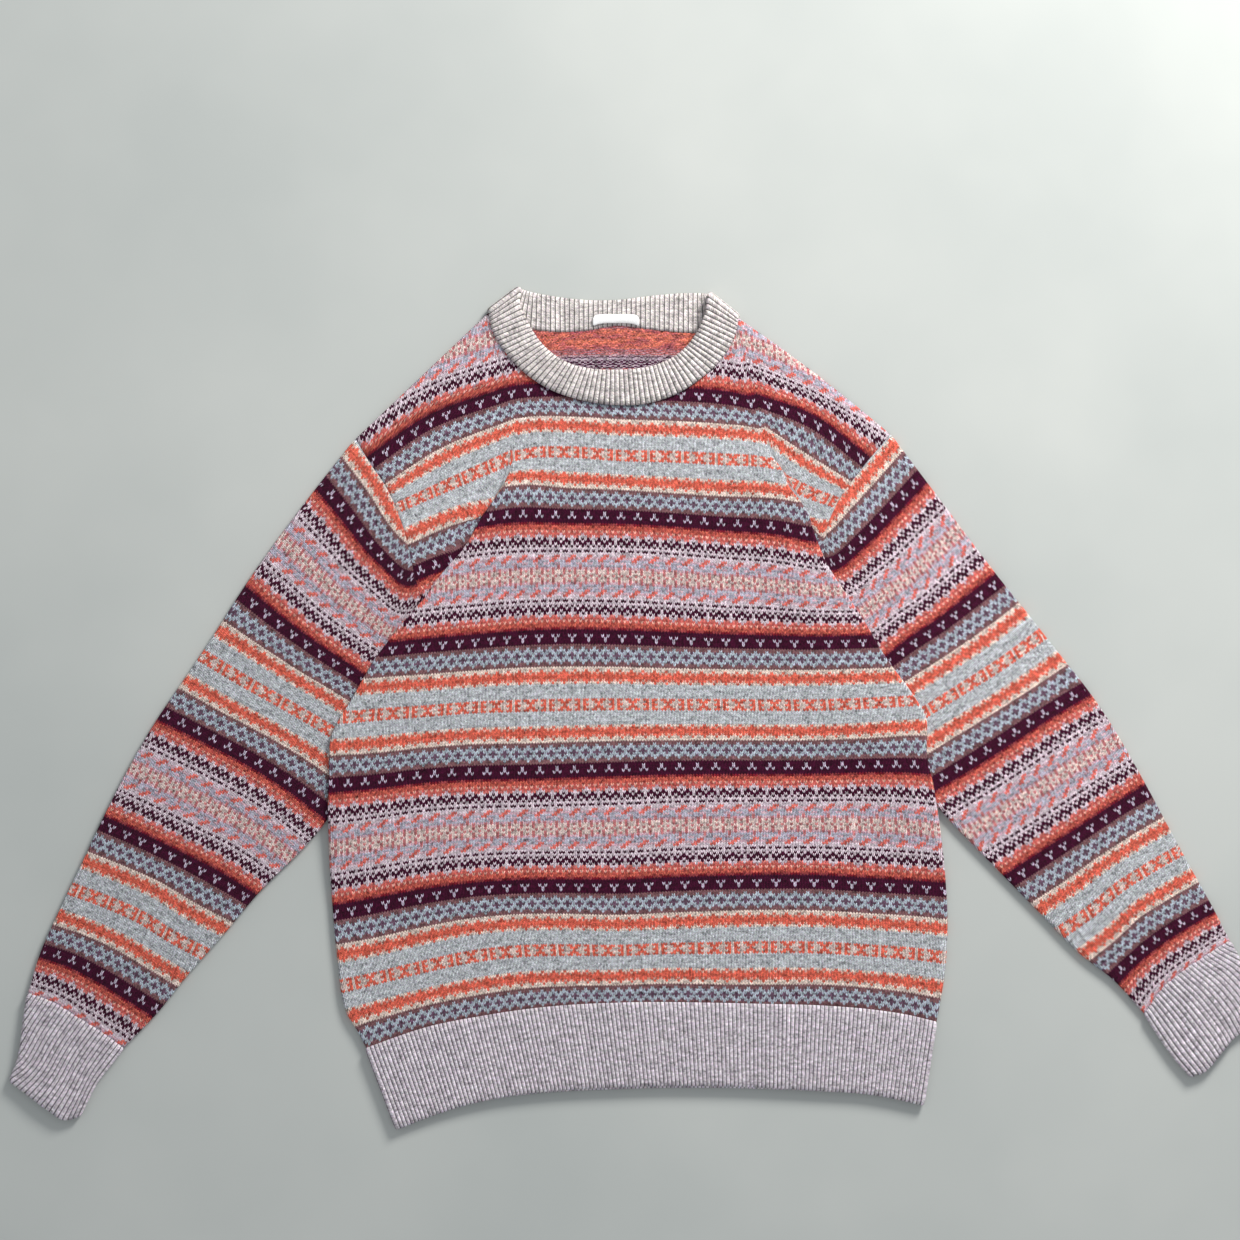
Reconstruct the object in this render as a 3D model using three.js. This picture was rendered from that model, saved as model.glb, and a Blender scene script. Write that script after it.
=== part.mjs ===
// Crew-neck pullover laid flat, front up. Millimetres: +X right, +Y to the neck, +Z up.
import * as THREE from 'three';

// Cloth
const PLY = 2.6;            // one knitted wall
const RIB_PLY = 2.8;        // one ribbed wall between its ribs
const AIR = 0.5;            // space between two walls that lie on each other
const SEAM = 0.3;           // space left along a seam
const ROLL = 2.2;           // width of a rounded edge
const EDGE_LEFT = 0.3;      // half wall kept at a rounded edge, as a share

// Ribs, one knit stitch beside one purl stitch
const RIB_RAISE = 0.8;
const HEM_RIBS = 128;
const CUFF_RIBS = 26;
const COLLAR_FRONT_RIBS = 63;
const COLLAR_BACK_RIBS = 44;

// Sides of the body from the hem seam up to the tuck at the underarm
const SIDES = [
  { lx: -227, ly: -297, rx: 268, ry: -274 },
  { lx: -241, ly: -271, rx: 273, ry: -250 },
  { lx: -252, ly: -218, rx: 277, ry: -208 },
  { lx: -256, ly: -171, rx: 277, ry: -170 },
  { lx: -260, ly: -101, rx: 270, ry: -96 },
  { lx: -259, ly: -55, rx: 263, ry: -55 },
  { lx: -257, ly: -26, rx: 259, ry: -22 },
  { lx: -239, ly: 8, rx: 248, ry: 11 },
  { lx: -216, ly: 46, rx: 224, ry: 44 },
  { lx: -184, ly: 84, rx: 200, ry: 84 },
  { lx: -172, ly: 101, rx: 172, ry: 125 },
];
const TUCK_ROW = 0.72;      // share of the body's rows below the tuck

// Back panel under the tucks, from the last free side row up
const BACK_SIDES = [
  { lx: -227, ly: -297, rx: 268, ry: -274 },
  { lx: -252, ly: -218, rx: 277, ry: -208 },
  { lx: -256, ly: -171, rx: 277, ry: -170 },
  { lx: -259, ly: -112, rx: 272, ry: -112 },
  { lx: -229, ly: -58, rx: 235, ry: -44 },
  { lx: -188, ly: 22, rx: 187, ry: 42 },
  { lx: -170, ly: 70, rx: 170, ry: 88 },
  { lx: -169, ly: 98, rx: 169, ry: 122 },
];

// How far the hem arches above the straight line between its corners
const HEM_ARCH = [
  { across: 0, seam: 0, end: 0 },
  { across: 0.05, seam: 8, end: 8 },
  { across: 0.1, seam: 15, end: 15 },
  { across: 0.2, seam: 23, end: 24 },
  { across: 0.3, seam: 28, end: 27.5 },
  { across: 0.4, seam: 29.5, end: 28.2 },
  { across: 0.5, seam: 28.4, end: 27.6 },
  { across: 0.6, seam: 25.6, end: 25.4 },
  { across: 0.7, seam: 22.2, end: 21.8 },
  { across: 0.8, seam: 18.5, end: 17 },
  { across: 0.9, seam: 12, end: 11.5 },
  { across: 0.95, seam: 7, end: 6.5 },
  { across: 1, seam: 0, end: 0 },
];
const HEM_ENDS = { lx: -201, ly: -366, rx: 257, ry: -345 };
const HEM_BACK_DROP = 2.2;  // back wall shows below the front at mid hem

// Sections across each sleeve: outer edge, inner edge, bow towards the cuff
const SLEEVE_LEFT = [
  { ox: -240, oy: 233, ix: -172, iy: 101, bow: -4 },
  { ox: -268, oy: 197, ix: -177, iy: 68, bow: -3 },
  { ox: -317, oy: 125, ix: -196, iy: 18, bow: 0 },
  { ox: -350, oy: 76, ix: -218, iy: -25, bow: 3 },
  { ox: -376, oy: 45, ix: -238, iy: -62, bow: 4 },
  { ox: -410, oy: -11, ix: -262, iy: -96, bow: 5 },
  { ox: -442, oy: -59, ix: -295, iy: -130, bow: 5 },
  { ox: -464, oy: -107, ix: -330, iy: -168, bow: 4 },
  { ox: -484, oy: -150, ix: -365, iy: -210, bow: 3 },
  { ox: -504, oy: -200, ix: -402, iy: -254, bow: 2 },
  { ox: -522, oy: -248, ix: -440, iy: -295, bow: 1 },
];
const SLEEVE_RIGHT = [
  { ox: 229, oy: 234, ix: 172, iy: 125, bow: -15 },
  { ox: 254, oy: 207, ix: 178, iy: 85, bow: -8 },
  { ox: 315, oy: 127, ix: 196, iy: 40, bow: -2 },
  { ox: 349, oy: 90, ix: 215, iy: 3, bow: 2 },
  { ox: 385, oy: 40, ix: 243, iy: -45, bow: 4 },
  { ox: 411, oy: -2, ix: 275, iy: -97, bow: 4 },
  { ox: 439, oy: -47, ix: 312, iy: -130, bow: 3 },
  { ox: 467, oy: -93, ix: 345, iy: -162, bow: 2 },
  { ox: 491, oy: -138, ix: 377, iy: -192, bow: 0 },
  { ox: 508, oy: -170, ix: 412, iy: -225, bow: 0 },
  { ox: 524, oy: -202, ix: 451, iy: -267, bow: 0 },
];
const CUFF_LEFT = [
  { ox: -522, oy: -248, ix: -440, iy: -295, bow: 1 },
  { ox: -526, oy: -281, ix: -458, iy: -317, bow: 4 },
  { ox: -537, oy: -326, ix: -477, iy: -357, bow: 9 },
];
const CUFF_RIGHT = [
  { ox: 524, oy: -202, ix: 451, iy: -267, bow: 0 },
  { ox: 540, oy: -240, ix: 472, iy: -297, bow: 1 },
  { ox: 542, oy: -278, ix: 491, iy: -321, bow: 5 },
];
const SLEEVE_SECTIONS = 14;
const SLEEVE_PUFF = 1.6;    // air that lifts the middle of a sleeve

// Collar, a ribbed tube flattened front over back, from its seam to its free edge
const COLLAR_CORNERS = [
  { edge: 'seam', lx: -117, ly: 346, rx: 91, ry: 334 },
  { edge: 'free', lx: -92, ly: 363, rx: 72, ry: 356 },
];
const COLLAR_FRONT_ROWS = [
  { seamX: -109, seamY: 323, freeX: -94, freeY: 347 },
  { seamX: -87, seamY: 292, freeX: -75, freeY: 317 },
  { seamX: -57, seamY: 275, freeX: -50, freeY: 298 },
  { seamX: -13, seamY: 266, freeX: -12, freeY: 292 },
  { seamX: 13, seamY: 268, freeX: 10, freeY: 295 },
  { seamX: 49, seamY: 278, freeX: 37, freeY: 304 },
  { seamX: 83, seamY: 308, freeX: 60, freeY: 326 },
];
const COLLAR_BACK_ROWS = [
  { seamX: -84, seamY: 333, freeX: -72, freeY: 358 },
  { seamX: -40, seamY: 331, freeX: -50, freeY: 354 },
  { seamX: 11, seamY: 331, freeX: -11, freeY: 354 },
  { seamX: 60, seamY: 328, freeX: 49, freeY: 358 },
];
const COLLAR_FRONT = { rows: COLLAR_FRONT_ROWS, pieces: 18 };
const COLLAR_BACK = { rows: COLLAR_BACK_ROWS, pieces: 12 };
const COLLAR_AIR = 1.4;
const COLLAR_ARCH = 2.5;

const SHOULDER_SWELL = 3;   // how far the right shoulder seam bows up

const LABEL = { x: -10, y: 337.5, wide: 40, tall: 11, curl: 2, thick: 0.6 };

// Tucks where the body lies on the sleeves: lift, and how far it stays lifted
const TUCK_LEFT = [
  { x: -97, y: 227, lift: 0, shelf: 4 },
  { x: -124, y: 171, lift: 2.4, shelf: 8 },
  { x: -161, y: 115, lift: 4.6, shelf: 14 },
  { x: -184, y: 84, lift: 4.9, shelf: 24 },
  { x: -216, y: 46, lift: 4.9, shelf: 42 },
  { x: -257, y: -26, lift: 4.9, shelf: 42 },
  { x: -260, y: -101, lift: 4.2, shelf: 10 },
  { x: -257, y: -165, lift: 0, shelf: 4 },
];
const TUCK_RIGHT = [
  { x: 123, y: 243, lift: 0, shelf: 4 },
  { x: 147, y: 195, lift: 2.4, shelf: 8 },
  { x: 162, y: 151, lift: 4.4, shelf: 14 },
  { x: 189, y: 99, lift: 4.9, shelf: 26 },
  { x: 224, y: 44, lift: 4.9, shelf: 42 },
  { x: 258, y: -10, lift: 4.9, shelf: 40 },
  { x: 270, y: -96, lift: 4.2, shelf: 10 },
  { x: 276, y: -160, lift: 0, shelf: 4 },
];
const TUCK_FALL = 60;       // width over which a tuck sinks back to the body
const TUCK_STEP = 7;        // width of the step down to the yoke

// Soft folds on the upper walls: middle, direction in degrees, half sizes, height
const FOLDS = [
  { x: -18, y: -235, angle: 96, long: 60, wide: 9, high: 1.5 },
  { x: -120, y: -60, angle: 62, long: 110, wide: 22, high: 1.2 },
  { x: 150, y: -20, angle: 118, long: 100, wide: 24, high: 1.1 },
  { x: 40, y: 120, angle: 8, long: 90, wide: 20, high: 0.8 },
  { x: -330, y: 40, angle: 52, long: 90, wide: 16, high: 1.6 },
  { x: -415, y: -130, angle: 58, long: 80, wide: 14, high: 1.3 },
  { x: -480, y: -225, angle: 20, long: 40, wide: 10, high: 1.0 },
  { x: 352, y: 20, angle: 128, long: 90, wide: 16, high: 1.5 },
  { x: 430, y: -120, angle: 130, long: 80, wide: 14, high: 1.2 },
  { x: 500, y: -205, angle: 150, long: 40, wide: 10, high: 1.2 },
];

const KNIT_COLOUR = 0xa07c78;
const RIB_COLOUR = 0xb8acac;
const LABEL_COLOUR = 0xeeece8;

const lerp = THREE.MathUtils.lerp;
const clamp = THREE.MathUtils.clamp;
const smooth = (t) => THREE.MathUtils.smoothstep(t, 0, 1);

function knitMaterial(color) {
  return new THREE.MeshStandardMaterial({ color, roughness: 0.95, metalness: 0 });
}

// A smooth curve through two named columns of a table
function through(rows, xKey, yKey) {
  const points = rows.map((row) => new THREE.Vector3(row[xKey], row[yKey], 0));
  return new THREE.CatmullRomCurve3(points, false, 'centripetal');
}

// The value of one column at a share of the way down a table
function column(rows, key, t) {
  const place = clamp(t, 0, 1) * (rows.length - 1);
  const row = Math.min(Math.floor(place), rows.length - 2);
  return lerp(rows[row][key], rows[row + 1][key], place - row);
}

function lookUp(rows, key, valueKey, value) {
  const next = rows.findIndex((row) => row[key] >= value);
  if (next <= 0) return rows[next === 0 ? 0 : rows.length - 1][valueKey];
  const a = rows[next - 1];
  const b = rows[next];
  return lerp(a[valueKey], b[valueKey], (value - a[key]) / (b[key] - a[key]));
}

// Shares from 0 to 1 that pass each stop, with a narrow first and last step for the rounded edge
function edgedShares(stops, counts, edge) {
  const shares = [0, edge];
  counts.forEach((count, k) => {
    for (let i = 1; i <= count; i += 1) {
      shares.push(lerp(stops[k], stops[k + 1], i / count));
    }
  });
  shares[shares.length - 1] = 1 - edge;
  shares.push(1);
  return shares;
}

function foldHeight(x, y) {
  let height = 0;
  for (const fold of FOLDS) {
    const turn = THREE.MathUtils.degToRad(fold.angle);
    const dx = x - fold.x;
    const dy = y - fold.y;
    const along = (dx * Math.cos(turn) + dy * Math.sin(turn)) / fold.long;
    const aside = (dy * Math.cos(turn) - dx * Math.sin(turn)) / fold.wide;
    height += fold.high * Math.exp(-along * along - aside * aside);
  }
  return height;
}

// Lift of the front where it lies over one sleeve; side is -1 or 1 for the sleeve's side
function tuckLift(rows, side, x, y) {
  let best = { distance: Infinity, lift: 0, shelf: 0, inside: true };
  for (let i = 0; i < rows.length - 1; i += 1) {
    const a = rows[i];
    const b = rows[i + 1];
    const dx = b.x - a.x;
    const dy = b.y - a.y;
    const t = clamp(((x - a.x) * dx + (y - a.y) * dy) / (dx * dx + dy * dy), 0, 1);
    const ex = x - lerp(a.x, b.x, t);
    const ey = y - lerp(a.y, b.y, t);
    const distance = Math.hypot(ex, ey);
    if (distance < best.distance) {
      best = {
        distance,
        lift: lerp(a.lift, b.lift, t),
        shelf: lerp(a.shelf, b.shelf, t),
        inside: side * (dx * ey - dy * ex) < 0,
      };
    }
  }
  const reach = best.inside
    ? (best.distance - best.shelf) / TUCK_FALL
    : best.distance / TUCK_STEP;
  return best.lift * (1 - smooth(reach));
}

// Body front above the back, without the folds
function bodyLift(x, y) {
  return tuckLift(TUCK_LEFT, -1, x, y) + tuckLift(TUCK_RIGHT, 1, x, y);
}

// One section across a sleeve or cuff, outer edge at 0 and inner edge at 1
function sectionAt(rows, s) {
  const outer = through(rows, 'ox', 'oy').getPoint(s);
  const inner = through(rows, 'ix', 'iy').getPoint(s);
  const bow = column(rows, 'bow', s);
  const across = inner.clone().sub(outer);
  const width = across.length();
  const down = new THREE.Vector3(across.y, -across.x, 0).divideScalar(width);
  if (down.y > 0) down.negate();
  return {
    width,
    at: (t) => outer.clone().addScaledVector(across, t).addScaledVector(down, 4 * bow * t * (1 - t)),
    down,
  };
}

// ---- solids -------------------------------------------------------------

class Shell {
  constructor() {
    this.positions = [];
  }

  triangle(a, b, c) {
    for (const p of [a, b, c]) {
      this.positions.push(p.x, p.y, p.z);
    }
  }

  quad(a, b, c, d) {
    this.triangle(a, b, c);
    this.triangle(a, c, d);
  }

  mesh(name, material) {
    const geometry = new THREE.BufferGeometry();
    geometry.setAttribute('position', new THREE.Float32BufferAttribute(this.positions, 3));
    geometry.computeVertexNormals();
    const mesh = new THREE.Mesh(geometry, material);
    mesh.name = name;
    return mesh;
  }
}

// A panel between an upper and a lower grid of points with the same rows and columns
function panel(name, material, upper, lower) {
  const shell = new Shell();
  const rows = upper.length - 1;
  const cols = upper[0].length - 1;
  for (let i = 0; i < rows; i += 1) {
    for (let j = 0; j < cols; j += 1) {
      shell.quad(upper[i][j], upper[i][j + 1], upper[i + 1][j + 1], upper[i + 1][j]);
      shell.quad(lower[i][j], lower[i + 1][j], lower[i + 1][j + 1], lower[i][j + 1]);
    }
    shell.quad(upper[i][0], upper[i + 1][0], lower[i + 1][0], lower[i][0]);
    shell.quad(upper[i + 1][cols], upper[i][cols], lower[i][cols], lower[i + 1][cols]);
  }
  for (let j = 0; j < cols; j += 1) {
    shell.quad(upper[0][j + 1], upper[0][j], lower[0][j], lower[0][j + 1]);
    shell.quad(upper[rows][j], upper[rows][j + 1], lower[rows][j + 1], lower[rows][j]);
  }
  return shell.mesh(name, material);
}

// Joins two closed loops that may differ in count; each point has a phase from 0 to 1
function zip(shell, a, b, flip) {
  let i = 0;
  let j = 0;
  const phase = (loop, k) => (k < loop.length ? loop[k].phase : 1 + loop[0].phase);
  const point = (loop, k) => loop[k % loop.length].point;
  while (i < a.length || j < b.length) {
    const stepA = j >= b.length || (i < a.length && phase(a, i + 1) <= phase(b, j + 1));
    const corners = stepA
      ? [point(a, i), point(a, i + 1), point(b, j)]
      : [point(a, i), point(b, j + 1), point(b, j)];
    if (flip) corners.reverse();
    shell.triangle(...corners);
    if (stepA) i += 1;
    else j += 1;
  }
}

// A wall between outer and inner loops, open at both ends
function tube(name, material, sections, flip) {
  const shell = new Shell();
  for (let s = 0; s < sections.length - 1; s += 1) {
    zip(shell, sections[s].outer, sections[s + 1].outer, flip);
    zip(shell, sections[s].inner, sections[s + 1].inner, !flip);
  }
  zip(shell, sections[0].outer, sections[0].inner, !flip);
  const last = sections[sections.length - 1];
  zip(shell, last.outer, last.inner, flip);
  return shell.mesh(name, material);
}

// Places across a wall: plain, or four to a rib with the rib raised between the middle two
function plainPlaces(count) {
  const places = [];
  for (let i = 0; i <= count; i += 1) {
    places.push({ t: i / count, raise: 0 });
  }
  return places;
}

function ribPlaces(count, raise) {
  const places = [{ t: 0, raise: 0 }];
  for (let i = 0; i < count; i += 1) {
    places.push({ t: (i + 0.3) / count, raise });
    places.push({ t: (i + 0.72) / count, raise });
    places.push({ t: (i + 1) / count, raise: 0 });
  }
  return places;
}

// Loop round a flattened tube lying on z = 0. lay(share, x, z) puts a point in space.
function flatLoop({ width, deep, inset, over, under, puff, lay }) {
  const loop = [];
  const radius = deep / 2 - inset;
  const start = deep / 2;
  const add = (c, z, phase) => loop.push({ point: lay(c, z), phase });
  for (const { t, raise } of over) {
    const c = lerp(start, width - start, t);
    add(c, deep / 2 + radius + raise + puff(c / width, c), 0.4 * t);
  }
  for (const turn of [60, 20, -20, -60]) {
    const angle = THREE.MathUtils.degToRad(turn);
    add(width - start + radius * Math.cos(angle), deep / 2 + radius * Math.sin(angle), 0.45 - turn / 1800);
  }
  for (const { t } of under) {
    add(lerp(width - start, start, t), deep / 2 - radius, 0.5 + 0.4 * t);
  }
  for (const turn of [-60, -20, 20, 60]) {
    const angle = THREE.MathUtils.degToRad(turn);
    add(start - radius * Math.cos(angle), deep / 2 + radius * Math.sin(angle), 0.95 + turn / 1800);
  }
  return loop;
}

// ---- the pieces ---------------------------------------------------------

function sleevePart(name, rows, count, { wall, puffHigh, ribs, raise, colour, from, to }) {
  const deep = 2 * wall + AIR;
  const sections = [];
  for (let i = 0; i <= count; i += 1) {
    const s = i / count;
    const section = sectionAt(rows, s);
    const shift = lerp(from, -to, s);
    const place = (c, z) => {
      const p = section.at(c / section.width).addScaledVector(section.down, shift);
      p.z = z;
      return p;
    };
    const puff = (t, c) => {
      const p = section.at(t);
      const middle = Math.sin(Math.PI * clamp(t, 0, 1)) ** 2;
      return middle * puffHigh + Math.min(1, 3 * middle) * (ribs ? 0 : foldHeight(p.x, p.y));
    };
    const shared = { width: section.width, deep, puff, lay: place };
    sections.push({
      outer: flatLoop({
        ...shared,
        inset: 0,
        over: ribs ? ribPlaces(ribs, raise) : plainPlaces(11),
        under: plainPlaces(4),
      }),
      inner: flatLoop({ ...shared, inset: wall, over: plainPlaces(9), under: plainPlaces(4) }),
    });
  }
  return tube(name, knitMaterial(colour), sections, rows[0].ox < 0);
}

function hemPoint(edge, across, seamShift) {
  const ends = edge === 'seam' ? SIDES[0] : HEM_ENDS;
  const arch = lookUp(HEM_ARCH, 'across', edge, across);
  return new THREE.Vector3(
    lerp(ends.lx, ends.rx, across),
    lerp(ends.ly, ends.ry, across) + arch + seamShift,
    0,
  );
}

function hemRib() {
  const deep = 2 * RIB_PLY + AIR;
  const sections = ['seam', 'end'].map((edge) => {
    const left = hemPoint(edge, 0, 0);
    const right = hemPoint(edge, 1, 0);
    const width = left.distanceTo(right);
    const lay = (c, z) => {
      const t = clamp(c / width, 0, 1);
      const p = hemPoint(edge, t, edge === 'seam' ? -SEAM : 0);
      p.x += c - t * width;
      const low = edge === 'end' && z < deep / 2;
      p.y -= low ? HEM_BACK_DROP * Math.sin(Math.PI * t) ** 2 : 0;
      p.z = z;
      return p;
    };
    const puff = (t) => 0.8 * Math.sin(Math.PI * t) + foldHeight(lerp(left.x, right.x, t), -262);
    const shared = { width, deep, puff, lay };
    return {
      outer: flatLoop({
        ...shared, inset: 0, over: ribPlaces(HEM_RIBS, RIB_RAISE), under: plainPlaces(16),
      }),
      inner: flatLoop({ ...shared, inset: RIB_PLY, over: plainPlaces(30), under: plainPlaces(16) }),
    };
  });
  return tube('hem_rib', knitMaterial(RIB_COLOUR), sections, true);
}

// Edge of the collar's front or back wall between its two folded corners, in straight pieces
function collarEdge(wall, edge) {
  const corner = COLLAR_CORNERS.find((row) => row.edge === edge);
  const points = [new THREE.Vector3(corner.lx, corner.ly, 0)];
  for (const row of wall.rows) {
    points.push(new THREE.Vector3(row[`${edge}X`], row[`${edge}Y`], 0));
  }
  points.push(new THREE.Vector3(corner.rx, corner.ry, 0));
  const curve = new THREE.CatmullRomCurve3(points, false, 'centripetal');
  const spaced = curve.getSpacedPoints(wall.pieces);
  const at = (t) => {
    const place = clamp(t, 0, 1) * wall.pieces;
    const piece = Math.min(Math.floor(place), wall.pieces - 1);
    return spaced[piece].clone().lerp(spaced[piece + 1], place - piece);
  };
  return { at, tangent: (t) => curve.getTangentAt(t) };
}

function collar() {
  const deep = 2 * RIB_PLY + COLLAR_AIR;
  const curves = {
    front: { seam: collarEdge(COLLAR_FRONT, 'seam'), free: collarEdge(COLLAR_FRONT, 'free') },
    back: { seam: collarEdge(COLLAR_BACK, 'seam'), free: collarEdge(COLLAR_BACK, 'free') },
  };
  const outward = { left: new THREE.Vector3(-0.75, 0.66, 0), right: new THREE.Vector3(0.8, 0.6, 0) };
  const sections = [0, 0.5, 1].map((s) => {
    const onWall = (wall, t, z) => {
      const p = curves[wall].seam.at(t).lerp(curves[wall].free.at(t), s);
      p.z = z;
      return p;
    };
    const onCorner = (side, radius, turn) => {
      const angle = THREE.MathUtils.degToRad(turn);
      const p = onWall('front', side === 'left' ? 0 : 1, deep / 2 + radius * Math.sin(angle));
      return p.addScaledVector(outward[side], radius * Math.cos(angle));
    };
    const arch = (t) => COLLAR_ARCH * Math.sin(Math.PI * t) * Math.sin(Math.PI * (0.15 + 0.6 * s));
    const makeLoop = (radius, over, under, overSide) => {
      const loop = [];
      for (const { t, raise } of over) {
        const z = deep / 2 + radius + raise + arch(t);
        loop.push({ point: onWall('front', t, z), phase: 0.4 * t });
      }
      for (const turn of [60, 20, -20, -60]) {
        loop.push({ point: onCorner('right', radius, turn), phase: 0.45 - turn / 1800 });
      }
      for (const { t, raise } of under) {
        const z = deep / 2 - radius + overSide * raise;
        loop.push({ point: onWall('back', 1 - t, z), phase: 0.5 + 0.4 * t });
      }
      for (const turn of [-60, -20, 20, 60]) {
        loop.push({ point: onCorner('left', radius, turn), phase: 0.95 + turn / 1800 });
      }
      return loop;
    };
    return {
      outer: makeLoop(deep / 2, ribPlaces(COLLAR_FRONT_RIBS, RIB_RAISE), plainPlaces(20), 0),
      inner: makeLoop(deep / 2 - RIB_PLY, plainPlaces(26), ribPlaces(COLLAR_BACK_RIBS, RIB_RAISE), 1),
    };
  });
  return tube('collar', knitMaterial(RIB_COLOUR), sections, false);
}

// Transfinite patch between four boundary functions that meet at their ends
function patch(bottom, top, left, right) {
  const corners = [bottom(0), bottom(1), top(0), top(1)];
  return (u, v) => {
    if (v === 0) return bottom(u);
    const p = bottom(u).multiplyScalar(1 - v).addScaledVector(top(u), v);
    p.addScaledVector(left(v), 1 - u).addScaledVector(right(v), u);
    p.addScaledVector(corners[0], -(1 - u) * (1 - v)).addScaledVector(corners[1], -u * (1 - v));
    p.addScaledVector(corners[2], -(1 - u) * v).addScaledVector(corners[3], -u * v);
    return p;
  };
}

// Armhole seam from the tuck up to the shoulder, standing clear of the sleeve
function armhole(sleeve, t) {
  const section = sectionAt(sleeve, 0);
  return section.at(1 - t).addScaledVector(section.down, -SEAM);
}

function sideCurve(rows, sleeve, xKey, yKey) {
  const lower = through(rows, xKey, yKey);
  return (v) => (v < TUCK_ROW
    ? lower.getPointAt(v / TUCK_ROW)
    : armhole(sleeve, (v - TUCK_ROW) / (1 - TUCK_ROW)));
}

// Neckline of a panel: the collar's seam edge, stood off from it
function neckPoint(wall, t, inset) {
  const edge = collarEdge(wall, 'seam');
  const along = edge.tangent(t);
  return edge.at(t).add(new THREE.Vector3(along.y, -along.x, 0).multiplyScalar(1.3 * SEAM + inset));
}

function shoulderPoint(neck, arm, t, swell, inset) {
  const along = arm.clone().sub(neck).normalize();
  const point = neck.clone().lerp(arm, t);
  point.y += swell * Math.sin(Math.PI * t);
  const down = new THREE.Vector3(-Math.abs(along.y) * Math.sign(along.x), -Math.abs(along.x), 0);
  return point.addScaledVector(down, inset);
}

// Top of a body panel: shoulder, neckline, shoulder; splits are the ends of the neckline
function topCurve(wall) {
  const leftTop = armhole(SLEEVE_LEFT, 1);
  const rightTop = armhole(SLEEVE_RIGHT, 1);
  const neckLeft = neckPoint(wall, 0, 0);
  const neckRight = neckPoint(wall, 1, 0);
  const splits = [neckLeft, neckRight].map((p) => (p.x - leftTop.x) / (rightTop.x - leftTop.x));
  const at = (u, inset) => {
    if (u < splits[0]) return shoulderPoint(neckLeft, leftTop, 1 - u / splits[0], 0, inset);
    if (u > splits[1]) {
      return shoulderPoint(neckRight, rightTop, (u - splits[1]) / (1 - splits[1]), SHOULDER_SWELL, inset);
    }
    return neckPoint(wall, (u - splits[0]) / (splits[1] - splits[0]), inset);
  };
  return { at, splits };
}

function bodyPanel(name, { sides, wall, across, along, heights, flatUnder }) {
  const top = topCurve(wall);
  const plan = patch(
    (u) => hemPoint('seam', u, SEAM),
    (u) => top.at(u, 0),
    sideCurve(sides, SLEEVE_LEFT, 'lx', 'ly'),
    sideCurve(sides, SLEEVE_RIGHT, 'rx', 'ry'),
  );
  const [left, right] = across;
  const edge = ROLL / 520;
  const shares = {
    across: edgedShares([0, ...top.splits, 1], [left, wall.pieces, right], ROLL / 480),
    along: edgedShares([0, TUCK_ROW, 1], along, edge),
  };
  const upper = [];
  const lower = [];
  for (const v of shares.along) {
    const upperRow = [];
    const lowerRow = [];
    for (const u of shares.across) {
      const p = v === 1 - edge && u > 0 && u < 1 ? top.at(u, ROLL) : plan(u, v);
      const { low, high } = heights(p.x, p.y);
      const onEdge = u === 0 || u === 1 || v === 0 || v === 1;
      const middle = (low + high) / 2;
      const half = ((high - low) / 2) * (onEdge ? EDGE_LEFT : 1);
      upperRow.push(new THREE.Vector3(p.x, p.y, middle + half));
      lowerRow.push(new THREE.Vector3(p.x, p.y, flatUnder ? low : middle - half));
    }
    upper.push(upperRow);
    lower.push(lowerRow);
  }
  return panel(name, knitMaterial(KNIT_COLOUR), upper, lower);
}

function frontHeights(x, y) {
  const low = PLY + AIR + bodyLift(x, y) + foldHeight(x, y);
  return { low, high: low + PLY };
}

function neckLabel() {
  const floor = RIB_PLY + RIB_RAISE + SEAM;
  const upper = [];
  const lower = [];
  for (const v of [-0.5, 0.5]) {
    const points = plainPlaces(6).map(({ t }) => new THREE.Vector3(
      LABEL.x + LABEL.wide * (t - 0.5),
      LABEL.y + LABEL.tall * v + LABEL.curl * Math.sin(Math.PI * t),
      floor,
    ));
    lower.push(points);
    upper.push(points.map((p) => p.clone().setZ(floor + LABEL.thick)));
  }
  return panel('neck_label', knitMaterial(LABEL_COLOUR), upper, lower);
}

function build() {
  const garment = new THREE.Group();
  garment.name = 'pullover';
  const sleeve = {
    wall: PLY, puffHigh: SLEEVE_PUFF, colour: KNIT_COLOUR, from: 0, to: SEAM,
  };
  const cuff = {
    wall: RIB_PLY, puffHigh: 1, ribs: CUFF_RIBS, raise: RIB_RAISE, colour: RIB_COLOUR, from: 0, to: 0,
  };
  garment.add(
    bodyPanel('back', {
      sides: BACK_SIDES,
      wall: COLLAR_BACK,
      across: [4, 4],
      along: [10, 8],
      heights: () => ({ low: 0, high: PLY }),
      flatUnder: true,
    }),
    bodyPanel('front', {
      sides: SIDES,
      wall: COLLAR_FRONT,
      across: [6, 6],
      along: [15, 8],
      heights: frontHeights,
      flatUnder: false,
    }),
    sleevePart('sleeve_left', SLEEVE_LEFT, SLEEVE_SECTIONS, sleeve),
    sleevePart('sleeve_right', SLEEVE_RIGHT, SLEEVE_SECTIONS, sleeve),
    sleevePart('cuff_left', CUFF_LEFT, 3, cuff),
    sleevePart('cuff_right', CUFF_RIGHT, 3, cuff),
    hemRib(),
    collar(),
    neckLabel(),
  );
  const box = new THREE.Box3().setFromObject(garment);
  const middle = box.getCenter(new THREE.Vector3());
  garment.position.set(-middle.x, -middle.y, -box.min.z);
  return garment;
}

export default build();
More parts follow.
